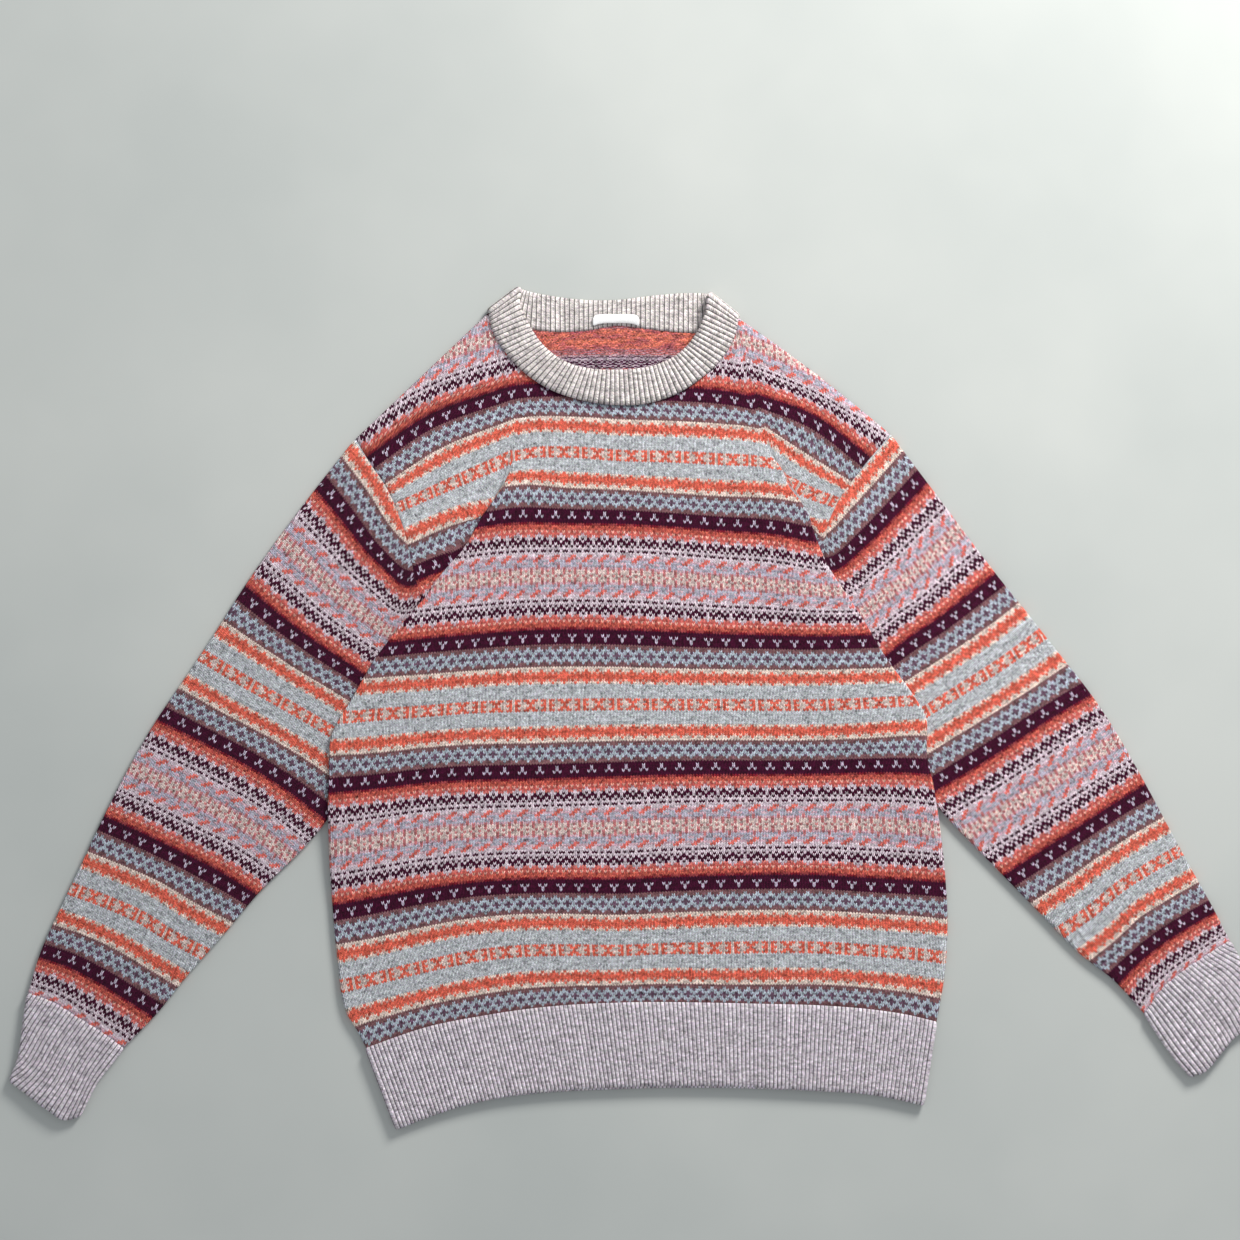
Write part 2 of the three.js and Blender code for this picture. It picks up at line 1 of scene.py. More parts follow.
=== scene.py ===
"""Stranded-knit crew-neck pullover laid flat, front up.

Tables are in millimetres on the maker's plan: +X right, +Y to the neck. Each knitted piece is
made row by row as it comes off the needles, so its pattern map is (stitch number, row number)
and the bands follow every tuck and bend of the cloth.
"""
import math

import bpy
import numpy as np
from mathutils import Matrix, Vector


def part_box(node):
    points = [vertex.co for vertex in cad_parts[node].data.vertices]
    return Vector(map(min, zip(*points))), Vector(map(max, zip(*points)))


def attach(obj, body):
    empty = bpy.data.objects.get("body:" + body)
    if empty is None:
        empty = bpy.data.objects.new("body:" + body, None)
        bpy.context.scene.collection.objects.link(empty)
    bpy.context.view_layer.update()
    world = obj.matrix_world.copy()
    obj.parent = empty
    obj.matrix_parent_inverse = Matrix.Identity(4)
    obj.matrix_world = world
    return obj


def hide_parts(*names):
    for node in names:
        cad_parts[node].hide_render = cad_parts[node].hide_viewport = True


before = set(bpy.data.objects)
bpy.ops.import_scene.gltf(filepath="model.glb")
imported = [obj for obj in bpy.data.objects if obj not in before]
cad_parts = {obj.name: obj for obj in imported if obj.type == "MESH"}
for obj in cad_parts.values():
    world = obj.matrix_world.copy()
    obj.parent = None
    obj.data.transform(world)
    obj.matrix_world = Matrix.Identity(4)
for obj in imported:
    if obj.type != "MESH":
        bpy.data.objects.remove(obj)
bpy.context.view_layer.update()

MM = 0.001
STITCH = 2.47       # width of one stitch
ROW = 2.1           # height of one row
PLY = 1.0           # half the thickness of a knitted wall
RIB_PLY = 1.4       # half the thickness of a ribbed wall between its ribs
BACK_Z = 1.3        # middle of a wall that lies on the table
FRONT_Z = 4.4       # middle of a wall that lies on that one
RIB_LOW_Z = 2.0     # the same for the ribs
RIB_HIGH_Z = 5.1
HEM_ROW = 232.5     # knit row at which the front meets the hem rib
SLEEVE_END = 254.4  # knit row at which a sleeve meets its cuff
UNDERARM_ROW = 44
FIRST_ROW = -70.0   # first and last knit row that the front is worked out for
LAST_ROW = 235.0

# Where the plan's zero lies in the frame, from the label, whose plan box starts at LABEL_AT
LABEL_AT = (-30.0, 332.0)
label_low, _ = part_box("neck_label")
SHIFT = np.array([label_low.x / MM - LABEL_AT[0], label_low.y / MM - LABEL_AT[1], 0.0])

# ---- pattern tables ------------------------------------------------------------------------

# Height on the plan of some knit rows of the front, at these places across
ACROSS = [-258.8, -224, -180.5, -137, -93.5, -50, -6.5, 37, 80.5, 124, 167.5, 211, 254.5, 277.1]
FRONT_ROWS = [
    (-64, [292.8, 310.2, 329.4, 342.9, 352.2, 354.2, 352.6, 350.3, 347.5, 339.8, 324.2, 301.5,
           275.4, 258.0]),
    (-45, [252.7, 270.1, 289.3, 302.8, 312.1, 314.1, 312.5, 310.2, 307.4, 299.7, 284.1, 261.4,
           235.3, 217.9]),
    (-27.5, [215.8, 233.2, 252.3, 265.8, 275.1, 277.1, 275.5, 273.2, 270.4, 262.7, 247.1, 224.5,
             198.4, 181.0]),
    (-11.7, [172.3, 187.9, 210.5, 229.7, 245.2, 246.2, 243.6, 242.5, 240.1, 235.3, 217.5, 194.0,
             167.9, 154.9]),
    (0, [154.9, 170.5, 189.7, 205.8, 220.7, 222.7, 219.7, 218.8, 216.6, 213.6, 203.6, 181.0, 163.6,
         150.5]),
    (11.7, [156.6, 170.5, 183.6, 194.4, 201.8, 199.2, 197.1, 194.6, 192.0, 190.5, 184.4, 174.0,
            163.6, 156.6]),
    (27.5, [146.2, 150.5, 156.6, 163.1, 167.9, 167.0, 166.3, 164.0, 160.7, 157.8, 150.5, 146.2,
            143.6, 141.8]),
    (76.5, [47.4, 50.3, 53.8, 57.4, 60.7, 62.0, 61.3, 59.7, 58.1, 57.2, 56.5, 58.3, 61.8, 63.5]),
    (92.3, [16.5, 18.9, 21.1, 24.4, 26.8, 27.8, 27.6, 26.6, 26.1, 25.7, 25.8, 27.3, 29.6, 30.4]),
    (115.7, [-33.5, -31.3, -27.1, -24.0, -23.0, -22.0, -20.9, -20.6, -20.5, -20.8, -20.5, -18.7,
             -15.7, -15.7]),
    (131.5, [-67.0, -64.3, -59.4, -56.5, -55.7, -54.5, -53.2, -52.1, -51.7, -51.7, -51.3, -49.9,
             -50.0, -52.2]),
    (180.5, [-179.2, -173.1, -164.7, -158.6, -155.7, -155.3, -155.6, -153.6, -152.2, -151.4,
             -151.7, -154.3, -156.7, -158.3]),
    (196.3, [-215.8, -209.8, -199.9, -191.4, -187.4, -187.0, -187.9, -186.1, -184.6, -183.8,
             -184.4, -186.8, -189.6, -191.8]),
    (219.7, [-274.9, -264.0, -252.1, -242.8, -236.6, -234.6, -234.0, -232.6, -233.2, -232.9,
             -233.0, -235.8, -240.6, -244.5]),
    (232.5, [-311.0, -295.8, -280.1, -271.0, -263.9, -259.9, -258.9, -257.8, -258.4, -260.1,
             -259.5, -262.7, -270.6, -276.7]),
]

# Edge of the front as it lies: neck corner, tip of the tuck, tuck, free side, hem corner
EDGE_LEFT = [
    (-120.5, 347.1), (-97.0, 227.1), (-107.4, 193.1), (-123.4, 169.7), (-143.1, 136.6), (-161.4, 115.7),
    (-174.4, 96.6), (-185.7, 84.4), (-204.9, 60.9), (-216.2, 46.1), (-238.8, 7.8), (-257.1, -26.1),
    (-258.8, -54.8), (-259.7, -100.9), (-256.2, -171.4), (-251.9, -217.5), (-241.4, -270.6),
    (-234.5, -281.0), (-226.6, -296.7),
]
EDGE_RIGHT = [
    (90.9, 334.1), (115.3, 246.2), (122.8, 221.8), (132.7, 208.8), (139.6, 192.3), (148.3, 181.8),
    (155.7, 169.7), (162.3, 150.5), (172.7, 125.3), (189.2, 99.2), (204.9, 75.7), (224.0, 43.5),
    (247.5, 11.3), (258.0, -6.1), (259.7, -40.0), (264.9, -65.2), (270.1, -95.7), (276.2, -149.6),
    (278.0, -184.4), (275.4, -232.3), (268.4, -274.1),
]

# Knit rows of the front between armhole and tuck: at the armhole, midway, at the tuck
YOKE_LEFT = [
    (-64, [(-258.8, 281.0), (-190.1, 322.8), (-120.9, 351.5)]),
    (-45, [(-242.3, 245.3), (-177.0, 285.4), (-113.5, 309.7)]),
    (-27.5, [(-225.8, 212.3), (-170.1, 249.9), (-105.7, 272.7)]),
    (-11.7, [(-209.2, 188.8), (-158.8, 219.2), (-100.5, 242.7)]),
    (0, [(-203.1, 173.6), (-152.7, 195.8), (-103.1, 216.6)]),
    (11.7, [(-194.0, 149.2), (-152.7, 167.0), (-122.0, 171.0)]),
    (20, [(-189.9, 132.7), (-156.2, 147.9), (-137.0, 146.5)]),
    (27.5, [(-186.8, 116.6), (-165.0, 124.3), (-150.5, 126.5)]),
    (34, [(-183.6, 102.7), (-171.8, 108.3), (-161.8, 115.3)]),
    (38, [(-181.0, 94.0), (-178.8, 95.7), (-176.6, 97.4)]),
    (44, [(-177.0, 84.4), (-175.3, 85.7), (-173.6, 87.0)]),
]
YOKE_RIGHT = [
    (-64, [(250.1, 275.8), (170.1, 316.7), (87.4, 347.1)]),
    (-45, [(231.0, 240.1), (167.5, 278.0), (99.2, 304.1)]),
    (-27.5, [(208.5, 213.5), (162.0, 249.0), (110.5, 271.5)]),
    (-11.7, [(192.7, 191.8), (155.3, 212.7), (117.9, 237.9)]),
    (-2.5, [(185.2, 183.0), (163.3, 191.4), (144.2, 196.1)]),
    (0, [(183.1, 178.5), (162.0, 186.0), (147.6, 189.8)]),
    (2.5, [(181.3, 173.8), (160.9, 180.6), (150.9, 183.4)]),
    (11.7, [(174.3, 158.3), (167.5, 157.0), (160.1, 156.2)]),
    (16, [(173.6, 149.6), (168.8, 148.3), (164.0, 147.0)]),
    (20, [(172.7, 140.1), (170.5, 140.1), (167.9, 139.6)]),
    (24, [(171.8, 131.8), (171.4, 131.4), (171.0, 130.9)]),
    (30, [(169.2, 123.5), (168.3, 122.7), (167.5, 121.8)]),
    (44, [(160.5, 109.6), (159.6, 108.8), (158.8, 107.9)]),
]

# Depth of the tuck under the front, by knit row
TUCK_DEPTH_LEFT = [
    (-70, 0), (-1, 0), (6, 4), (11.7, 10), (20, 15), (27.5, 18), (34, 20), (46, 21), (62, 8),
    (80, 5), (232, 4),
]
TUCK_DEPTH_RIGHT = [
    (-70, 0), (-9, 0), (-4, 4), (0, 8), (11.7, 13), (20, 17), (30, 20), (46, 21), (62, 8), (80, 5),
    (232, 4),
]

# Stitch numbers on the front by row: plan X of stitch 0, stitch width to its left and right
STITCH_LINE = [
    (-64, -6, 2.46, 2.46), (0, 4.2, 2.46, 2.46), (104, 4.6, 2.49, 2.58), (208, 13.5, 2.51, 2.66),
    (232, 14, 2.5, 2.66),
]

# How far the stitches of some rows have been pulled to the right of that count, in stitches
DRIFT_AT = [-84, -60, -36, -12, 12, 36, 60, 84]
DRIFT = [
    (-64, [-0.3] * 8),
    (-40, [-0.3] * 8),
    (-29, [-2.5, -2.5, -2.3, -2.4, -2.5, -1.1, -1.1, -1.1]),
    (-24, [-2.5, -2.5, -2.3, -2.2, -2.4, -1.1, -1.1, -1.1]),
    (-14, [-0.1, -0.15, -0.2, -0.4, -0.25, -0.3, -0.4, -0.45]),
    (0, [0.0, -0.1, -0.2, -0.4, -0.25, -0.3, -0.4, -0.5]),
    (20, [1.0, 0.6, -0.3, -1.1, -1.7, -2.2, -2.6, -3.0]),
    (28, [1.6, 1.0, -0.3, -1.3, -1.95, -2.5, -3.0, -3.4]),
    (58, [2.5, 2.0, 0.2, -0.75, -1.1, -1.4, -2.4, -3.2]),
    (76, [2.8, 2.2, 0.3, -0.5, -0.95, -1.1, -1.8, -2.6]),
    (84, [1.9, 1.5, 0.3, -0.4, -0.75, -0.75, -1.3, -2.0]),
    (104, [0.1, 0.3, 0.3, 0.1, -0.1, -0.1, -0.2, -1.0]),
    (124, [-0.75, -0.45, -0.05, 0.02, -0.13, -0.14, 0.15, -0.1]),
    (131, [-1.2, -0.8, -0.25, -0.09, -0.12, -0.03, 0.25, 0.2]),
    (148, [-1.2, -1.05, -0.25, -0.25, 0.1, 0.3, 1.1, 1.3]),
    (163, [-1.55, -1.4, -0.45, 0.1, -0.3, 0.1, 1.0, 1.4]),
    (180, [-1.95, -1.95, -1.1, -0.2, -0.5, -0.9, 0.05, 0.95]),
    (188, [-1.45, -1.5, -0.9, -0.45, -0.45, -0.95, -0.25, 0.8]),
    (208, [0.45, 0.3, 0.3, -0.15, -0.6, -0.64, -0.55, -0.45]),
    (228, [3.7, 2.8, 1.95, 0.5, -0.35, -0.65, -1.2, -1.8]),
]

# Sleeve sections: row numbers, then places from outer to inner edge
SLEEVE_LEFT = [
    ([7.8, 8.4, 9.9, 20.5, 38.5],
     [(-237.1, 233.2), (-215.7, 201.0), (-198.6, 167.0), (-188.6, 130.0), (-177.0, 90.5)]),
    ([27.5, 27.5, 28.5, 34, 52],
     [(-266.7, 195.8), (-244.9, 169.2), (-222.7, 138.3), (-202.7, 108.8), (-185.7, 62.6)]),
    ([76.5] * 5, [(-336.3, 100.0), (-304.9, 74.8), (-272.7, 51.3), (-238.8, 29.1), (-205.8, 5.2)]),
    ([92.3] * 5, [(-356.3, 68.3), (-322.7, 46.6), (-289.0, 25.6), (-254.5, 5.2), (-219.2, -17.4)]),
    ([115.7, 115.7, 115.7, 115.4, 114.5],
     [(-385.8, 23.9), (-347.0, 1.9), (-309.9, -17.9), (-273.2, -39.1), (-237.9, -60.9)]),
    ([131.5, 131.5, 131.6, 132.2, 133.5],
     [(-405.4, -4.8), (-366.7, -24.2), (-329.5, -43.9), (-295.0, -66.8), (-261.4, -95.7)]),
    ([180.5] * 5,
     [(-458.1, -100.5), (-425.0, -114.8), (-391.5, -130.9), (-358.9, -147.9), (-327.6, -167.0)]),
    ([196.3] * 5,
     [(-473.3, -133.1), (-441.1, -145.3), (-410.2, -158.9), (-381.5, -177.0), (-349.3, -193.1)]),
    ([219.7] * 5,
     [(-496.3, -181.4), (-466.3, -191.8), (-438.9, -204.4), (-412.8, -220.1), (-386.7, -235.8)]),
    ([235.5] * 5,
     [(-509.8, -211.4), (-482.4, -220.5), (-457.4, -233.2), (-433.7, -247.9), (-408.9, -263.6)]),
    ([SLEEVE_END] * 5,
     [(-521.8, -249.5), (-500.0, -257.6), (-479.2, -270.2), (-459.0, -282.8), (-440.4, -296.5)]),
]
SLEEVE_RIGHT = [
    ([7.9, 8.2, 9.3, 13.5, 27],
     [(228.9, 237.5), (207.8, 212.0), (187.7, 185.7), (173.9, 156.6), (171.8, 123.5)]),
    ([27.5, 27.5, 28, 31, 44],
     [(256.2, 201.4), (233.6, 177.0), (210.5, 151.4), (191.0, 127.0), (175.3, 89.6)]),
    ([76.5] * 5, [(324.1, 111.4), (298.0, 91.3), (272.4, 71.7), (246.2, 54.5), (213.6, 28.7)]),
    ([92.3] * 5, [(345.4, 84.8), (316.2, 62.6), (286.7, 42.6), (258.0, 24.1), (227.5, 5.2)]),
    ([115.7] * 5, [(377.6, 43.9), (343.8, 20.9), (309.5, -0.9), (274.9, -22.2), (240.6, -44.4)]),
    ([131.5] * 5, [(399.3, 16.5), (363.7, -4.8), (328.2, -27.8), (293.9, -49.6), (258.8, -70.5)]),
    ([180.5] * 5, [(453.7, -72.6), (423.3, -90.9), (392.8, -110.9), (363.2, -130.5), (332.8, -150.5)]),
    ([196.3] * 5,
     [(469.8, -102.7), (441.1, -118.8), (412.8, -137.0), (386.7, -156.6), (357.6, -175.7)]),
    ([219.7] * 5,
     [(492.9, -145.3), (467.6, -159.6), (442.0, -175.7), (420.6, -195.8), (396.3, -214.9)]),
    ([235.5] * 5,
     [(508.5, -173.1), (485.0, -186.2), (461.5, -201.0), (440.7, -218.2), (423.0, -235.6)]),
    ([SLEEVE_END] * 5,
     [(524.2, -204.0), (503.6, -216.8), (484.4, -229.8), (466.5, -245.0), (451.6, -266.6)]),
]

# Stitch numbers on the sleeves by row: the number at the middle of the upper wall, and how
# many numbers go to one stitch width
SLEEVE_COUNT_LEFT = [
    (7, 7, 1.05), (20, 7, 1.05), (27, 7.9, 1.06), (40, 8, 1.03), (65, 7.25, 1.01), (84, 7, 1.01),
    (104, 7.5, 1.0),
    (124, 6.75, 0.98), (131, 6, 0.98), (143, 5, 1.01), (167, 1.25, 1.03), (181, 0, 1.02), (188, -1,
    1.04),
    (208, -4.5, 1.06), (255, -10, 1.06),
]
SLEEVE_COUNT_RIGHT = [
    (7, 11.5, 1.1), (20, 11.6, 1.1), (27, 11.1, 1.11), (40, 10.4, 1.1), (65, 12, 1.04), (77, 12.25,
    1.05),
    (84, 12.5, 1.04), (104, 10.5, 1.01), (124, 9.5, 1.01), (131, 10, 1.0), (143, 11, 1.0), (167,
    13.75, 1.02),
    (181, 15.25, 1.04), (188, 16, 1.05), (208, 19.25, 1.0), (234, 21.85, 1.13), (254, 23.9, 1.07),
]
# The same for the front between armhole and tuck: number added, numbers to a stitch width
YOKE_COUNT_LEFT = [
    (-64, -7, 0.94), (-40, -6.75, 0.94), (-34, -6.4, 0.95), (-29, -2.3, 0.96), (-24, -2.3, 0.97),
    (-20, -0.4, 1.0), (-12, 2.5, 1.05), (0, 3.25, 1.11), (12, 0.5, 1.07), (44, 0, 1.06),
]
YOKE_COUNT_RIGHT = [
    (-64, 4, 0.94), (-36, 4, 0.94), (-29, 2.95, 0.94), (-24, 1.35, 0.96),
    (-20, -0.35, 0.99), (-12, 2.25, 0.97), (0, 2.25, 1.0), (44, 2.25, 1.0),
]

# Cuff sections from seam to free edge: places from outer to inner edge
CUFF_LEVELS = [0, 0.33, 0.67, 1]
CUFF_LEFT = [
    [(-521.8, -249.5), (-500.0, -257.6), (-479.2, -270.2), (-459.0, -282.8), (-440.4, -296.5)],
    [(-525.1, -274.1), (-506.0, -283.0), (-487.0, -293.5), (-469.0, -304.0), (-452.2, -311.6)],
    [(-529.3, -304.0), (-512.0, -312.5), (-495.5, -321.5), (-479.5, -329.0), (-464.3, -328.0)],
    [(-537.0, -325.0), (-521.5, -336.5), (-506.3, -347.8), (-491.3, -357.5), (-477.4, -355.0)],
]
CUFF_RIGHT = [
    [(524.2, -204.0), (503.6, -216.8), (484.4, -229.8), (466.5, -245.0), (451.6, -266.6)],
    [(532.5, -221.0), (515.0, -236.0), (498.0, -250.0), (480.0, -265.5), (461.5, -282.0)],
    [(538.5, -247.0), (523.0, -262.0), (508.0, -276.5), (491.5, -291.5), (476.0, -303.0)],
    [(541.0, -277.0), (527.5, -287.0), (515.5, -301.0), (503.5, -315.0), (491.0, -320.5)],
]

# Sides of the back from the hem seam up to the underarm
BACK_LEFT = [
    (-227, -297), (-252, -218), (-256, -171), (-259, -112), (-229, -58), (-188, 22), (-176, 60),
    (-177, 90.5),
]
BACK_RIGHT = [
    (268, -274), (277, -208), (277, -170), (272, -112), (235, -44), (187, 42), (172, 90),
    (171.8, 123.5),
]

# Knit rows of the back by height above the hem seam
BACK_ROWS = [(0, 232.5), (520, -20.5), (557, -38.5), (589, -58.5), (615, -74)]

# Hem rib: how far its seam and its end arch above the line between their corners
HEM_CORNERS = {"seam": (-227, -297, 268, -274), "end": (-201, -366, 257, -345)}
HEM_ARCH = [
    (0, 0, 0), (0.05, 8, 8), (0.1, 15, 15), (0.2, 23, 24), (0.3, 28, 27.5), (0.4, 29.5, 28.2),
    (0.5, 28.4, 27.6), (0.6, 25.6, 25.4), (0.7, 22.2, 21.8), (0.8, 18.5, 17), (0.9, 12, 11.5),
    (0.95, 7, 6.5), (1, 0, 0),
]

# Collar: seam edge and free edge of its front and back walls, from left corner to right corner
COLLAR_FRONT = [
    ((-119.7, 344.8), (-93.7, 364.3)), ((-118.4, 337), (-94.8, 351)), ((-116, 328), (-89.5, 339)),
    ((-107, 313), (-82, 325)), ((-89, 293), (-69, 310)), ((-66, 278), (-52, 299)),
    ((-39, 269), (-32, 294)), ((-11.5, 265), (-11.5, 293)), ((20, 267), (15, 295)),
    ((43, 275), (32, 300)), ((66, 290), (47, 309)), ((85, 310), (60, 324)),
    ((92.5, 325), (66.5, 337)), ((94.6, 334), (69.6, 348)), ((95.2, 339.8), (70.7, 358.8)),
]
COLLAR_BACK = [
    ((-119.7, 344.8), (-93.7, 364.3)), ((-102, 335), (-91, 363)), ((-84, 331), (-82, 360.5)),
    ((-66, 329), (-66, 357.5)), ((-35, 330), (-35, 354)), ((-11, 334), (-11, 354)),
    ((19.5, 331), (19.5, 357.5)), ((50.5, 328), (50.5, 360)), ((66, 328), (64, 360)),
    ((83, 332), (69, 359.5)), ((95.2, 339.8), (70.7, 358.8)),
]

# Lift of the front where it lies over a sleeve: place, lift, how far it stays lifted
OVER_LEFT = [
    (-98, 222, 0, 3), (-108, 193, 3.4, 6), (-124, 171, 4.2, 9), (-161, 115, 4.6, 14), (-184, 84,
    4.9, 24),
    (-216, 46, 4.9, 42), (-257, -26, 4.9, 42), (-260, -101, 4.2, 10), (-257, -165, 0, 4),
]
OVER_RIGHT = [
    (118, 238, 0, 3), (129, 212, 3.6, 6), (147, 186, 4.2, 9), (162, 151, 4.4, 14), (189, 99, 4.9, 26),
    (224, 44, 4.9, 42), (258, -10, 4.9, 40), (270, -96, 4.2, 10), (276, -160, 0, 4),
]

# Soft creases: middle, direction in degrees, half length, half width, height
CREASES = [
    (-18, -235, 96, 60, 9, 1.5), (-120, -60, 62, 110, 22, 1.2), (150, -20, 118, 100, 24, 1.1),
    (40, 120, 8, 90, 20, 0.8), (-330, 40, 52, 90, 16, 1.6), (-415, -130, 58, 80, 14, 1.3),
    (-480, -225, 20, 40, 10, 1.0), (352, 20, 128, 90, 16, 1.5), (430, -120, 130, 80, 14, 1.2),
    (500, -205, 150, 40, 10, 1.2), (521, -279, 135, 20, 6, -3.5),
]


# ---- curves and grids ----------------------------------------------------------------------

def smooth(t):
    t = np.clip(t, 0.0, 1.0)
    return t * t * (3 - 2 * t)


def between(t, start, start_slope, end, end_slope):
    """Cubic from start to end as t goes from 0 to 1."""
    return (
        (2 * t**3 - 3 * t**2 + 1) * start + (t**3 - 2 * t**2 + t) * start_slope
        + (3 * t**2 - 2 * t**3) * end + (t**3 - t**2) * end_slope
    )


def through(knots, values, at):
    """Smooth curve through rows of values at rising knots, straight beyond its ends."""
    knots, values, at = (np.asarray(item, float) for item in (knots, values, at))
    slope = np.gradient(values, knots, axis=0)
    i = np.clip(np.searchsorted(knots, at, side="right") - 1, 0, len(knots) - 2)
    gap = knots[i + 1] - knots[i]
    raw = (at - knots[i]) / gap
    t = np.clip(raw, 0, 1)
    shape = t.shape + (1,) * (values.ndim - 1)
    t, beyond, gap = t.reshape(shape), ((raw - t) * gap).reshape(shape), gap.reshape(shape)
    inside = between(t, values[i], gap * slope[i], values[i + 1], gap * slope[i + 1])
    return inside + beyond * np.where(beyond > 0, slope[i + 1], slope[i])


def lengths(points):
    """Distance along a line of points, from 0."""
    steps = np.linalg.norm(np.diff(points, axis=0), axis=1)
    return np.concatenate([[0], np.cumsum(steps)])


def at_lengths(run, line, at):
    """Places on a line of points at given distances along it."""
    return np.stack([np.interp(at, run, column) for column in line.T], axis=1)


def along_row(points):
    """Running length along each row of a grid of places."""
    steps = np.linalg.norm(np.diff(points, axis=1), axis=2)
    return np.concatenate([np.zeros((len(points), 1)), np.cumsum(steps, axis=1)], axis=1)


def paired(rows, count):
    """Lines through sets of places, stepped together at even distances along their middle."""
    sets = np.array(rows, float)
    knots = lengths(sets.mean(axis=1))
    fine = through(knots, sets, np.linspace(0, knots[-1], 12 * len(sets)))
    run = lengths(fine.mean(axis=1))
    spaced = at_lengths(run, fine.reshape(len(fine), -1), np.linspace(0, run[-1], count))
    return spaced.reshape(count, *sets.shape[1:])


def curve(points, count):
    """Evenly spaced points on a smooth curve through some places."""
    return paired(np.asarray(points, float)[:, None], count)[:, 0]


def filled(first, last, levels):
    """Lines stepped from the first line to the last."""
    t = levels[:, None, None]
    return first[None] * (1 - t) + last[None] * t


def table(rows):
    """A list of (key, values) as two arrays."""
    return np.array([r[0] for r in rows], float), np.array([r[1] for r in rows], float)


def columns_at(rows, at):
    """The later columns of a table at given values of its first, one array for each column."""
    return through([r[0] for r in rows], [r[1:] for r in rows], at).T


def front_y(x, row):
    """Plan height of a knit row of the front at x; x and row are arrays of one shape."""
    rows, heights = table(FRONT_ROWS)
    across = through(ACROSS, heights.T, x)                 # one column per knit row
    slope = np.gradient(across, rows, axis=1)
    i = np.clip(np.searchsorted(rows, row, side="right") - 1, 0, len(rows) - 2)
    pick = np.arange(len(x))
    gap = rows[i + 1] - rows[i]
    t = (row - rows[i]) / gap
    a, b = across[pick, i], across[pick, i + 1]
    slope_a, slope_b = slope[pick, i] * gap, slope[pick, i + 1] * gap
    inside = between(t, a, slope_a, b, slope_b)
    return np.where(t > 1, b + (t - 1) * slope_b, np.where(t < 0, a + t * slope_a, inside))


def stitch_drift(row, stitch):
    """DRIFT between its rows and places, held at its ends."""
    rows, drift = table(DRIFT)
    place = through(rows, drift, np.clip(row, rows[0], rows[-1]))
    return np.stack([np.interp(c, DRIFT_AT, line) for c, line in zip(stitch, place)])


def crease_height(x, y):
    height = np.zeros_like(x)
    for middle_x, middle_y, angle, long, wide, high in CREASES:
        turn = math.radians(angle)
        dx, dy = x - middle_x, y - middle_y
        along = (dx * math.cos(turn) + dy * math.sin(turn)) / long
        aside = (dy * math.cos(turn) - dx * math.sin(turn)) / wide
        height += high * np.exp(-along**2 - aside**2)
    return height


FALL_AWAY = 60.0        # width over which the front sinks back from a sleeve to the back panel
LIFT = 4.9              # full lift over a sleeve


def over_sleeve(rows, side, x, y):
    """Lift of the front over one sleeve, falling away towards the middle of the body."""
    best = np.full(x.shape, 1e9)
    lift = np.zeros_like(x)
    for (ax, ay, a_lift, a_shelf), (bx, by, b_lift, b_shelf) in zip(rows, rows[1:]):
        dx, dy = bx - ax, by - ay
        t = np.clip(((x - ax) * dx + (y - ay) * dy) / (dx * dx + dy * dy), 0, 1)
        aside_x, aside_y = x - ax - dx * t, y - ay - dy * t
        distance = np.hypot(aside_x, aside_y)
        inside = side * (dx * aside_y - dy * aside_x) < 0
        high, shelf = a_lift + (b_lift - a_lift) * t, a_shelf + (b_shelf - a_shelf) * t
        value = high * (1 - smooth(np.where(inside, (distance - shelf) / FALL_AWAY, 0.0)))
        lift = np.where(distance < best, value, lift)
        best = np.minimum(best, distance)
    return lift


def body_lift(x, y):
    return over_sleeve(OVER_LEFT, -1, x, y) + over_sleeve(OVER_RIGHT, 1, x, y)


def front_z(x, y):
    return FRONT_Z + body_lift(x, y) + crease_height(x, y)


# ---- cloth meshes --------------------------------------------------------------------------

EDGE_THIN = 0.72        # share of the thickness kept at a cut edge
EDGE_ROUND = 0.8        # how far a cut edge rounds out, as a share of its thickness
TABLE_TOP = 0.05        # no point lies lower


def grid_faces(rows, cols, wrap=False):
    """Faces of a grid, and the same faces on a map whose last column isn't joined to the first."""
    i, j = np.meshgrid(np.arange(rows - 1), np.arange(cols if wrap else cols - 1), indexing="ij")
    i, j = i.ravel(), j.ravel()

    def corners(wide, following):
        ends = [i * wide + j, i * wide + following, (i + 1) * wide + following, (i + 1) * wide + j]
        return np.stack(ends, axis=1)

    if wrap:
        return corners(cols, (j + 1) % cols), corners(cols + 1, j + 1)
    return corners(cols, j + 1), corners(cols, j + 1)


def face_normals(points, faces):
    a, b, c, d = (points[faces[:, k]] for k in range(4))
    return np.cross(c - a, d - b)


def vertex_normals(points, faces):
    normal = face_normals(points, faces)
    total = np.zeros_like(points)
    for k in range(4):
        np.add.at(total, faces[:, k], normal)
    return total / np.maximum(np.linalg.norm(total, axis=1, keepdims=True), 1e-12)


def sheet_area(points, faces):
    return float(np.linalg.norm(face_normals(points, faces), axis=1).sum() / 2) * MM * MM


def open_edges(faces):
    """Directed edges that only one face uses, as (from, to, face, corner)."""
    a, b = faces.ravel(), faces[:, [1, 2, 3, 0]].ravel()
    face, corner = np.repeat(np.arange(len(faces)), 4), np.tile(np.arange(4), len(faces))
    big = int(faces.max()) + 1
    alone = ~np.isin(a * big + b, b * big + a)
    return a[alone], b[alone], face[alone], corner[alone]


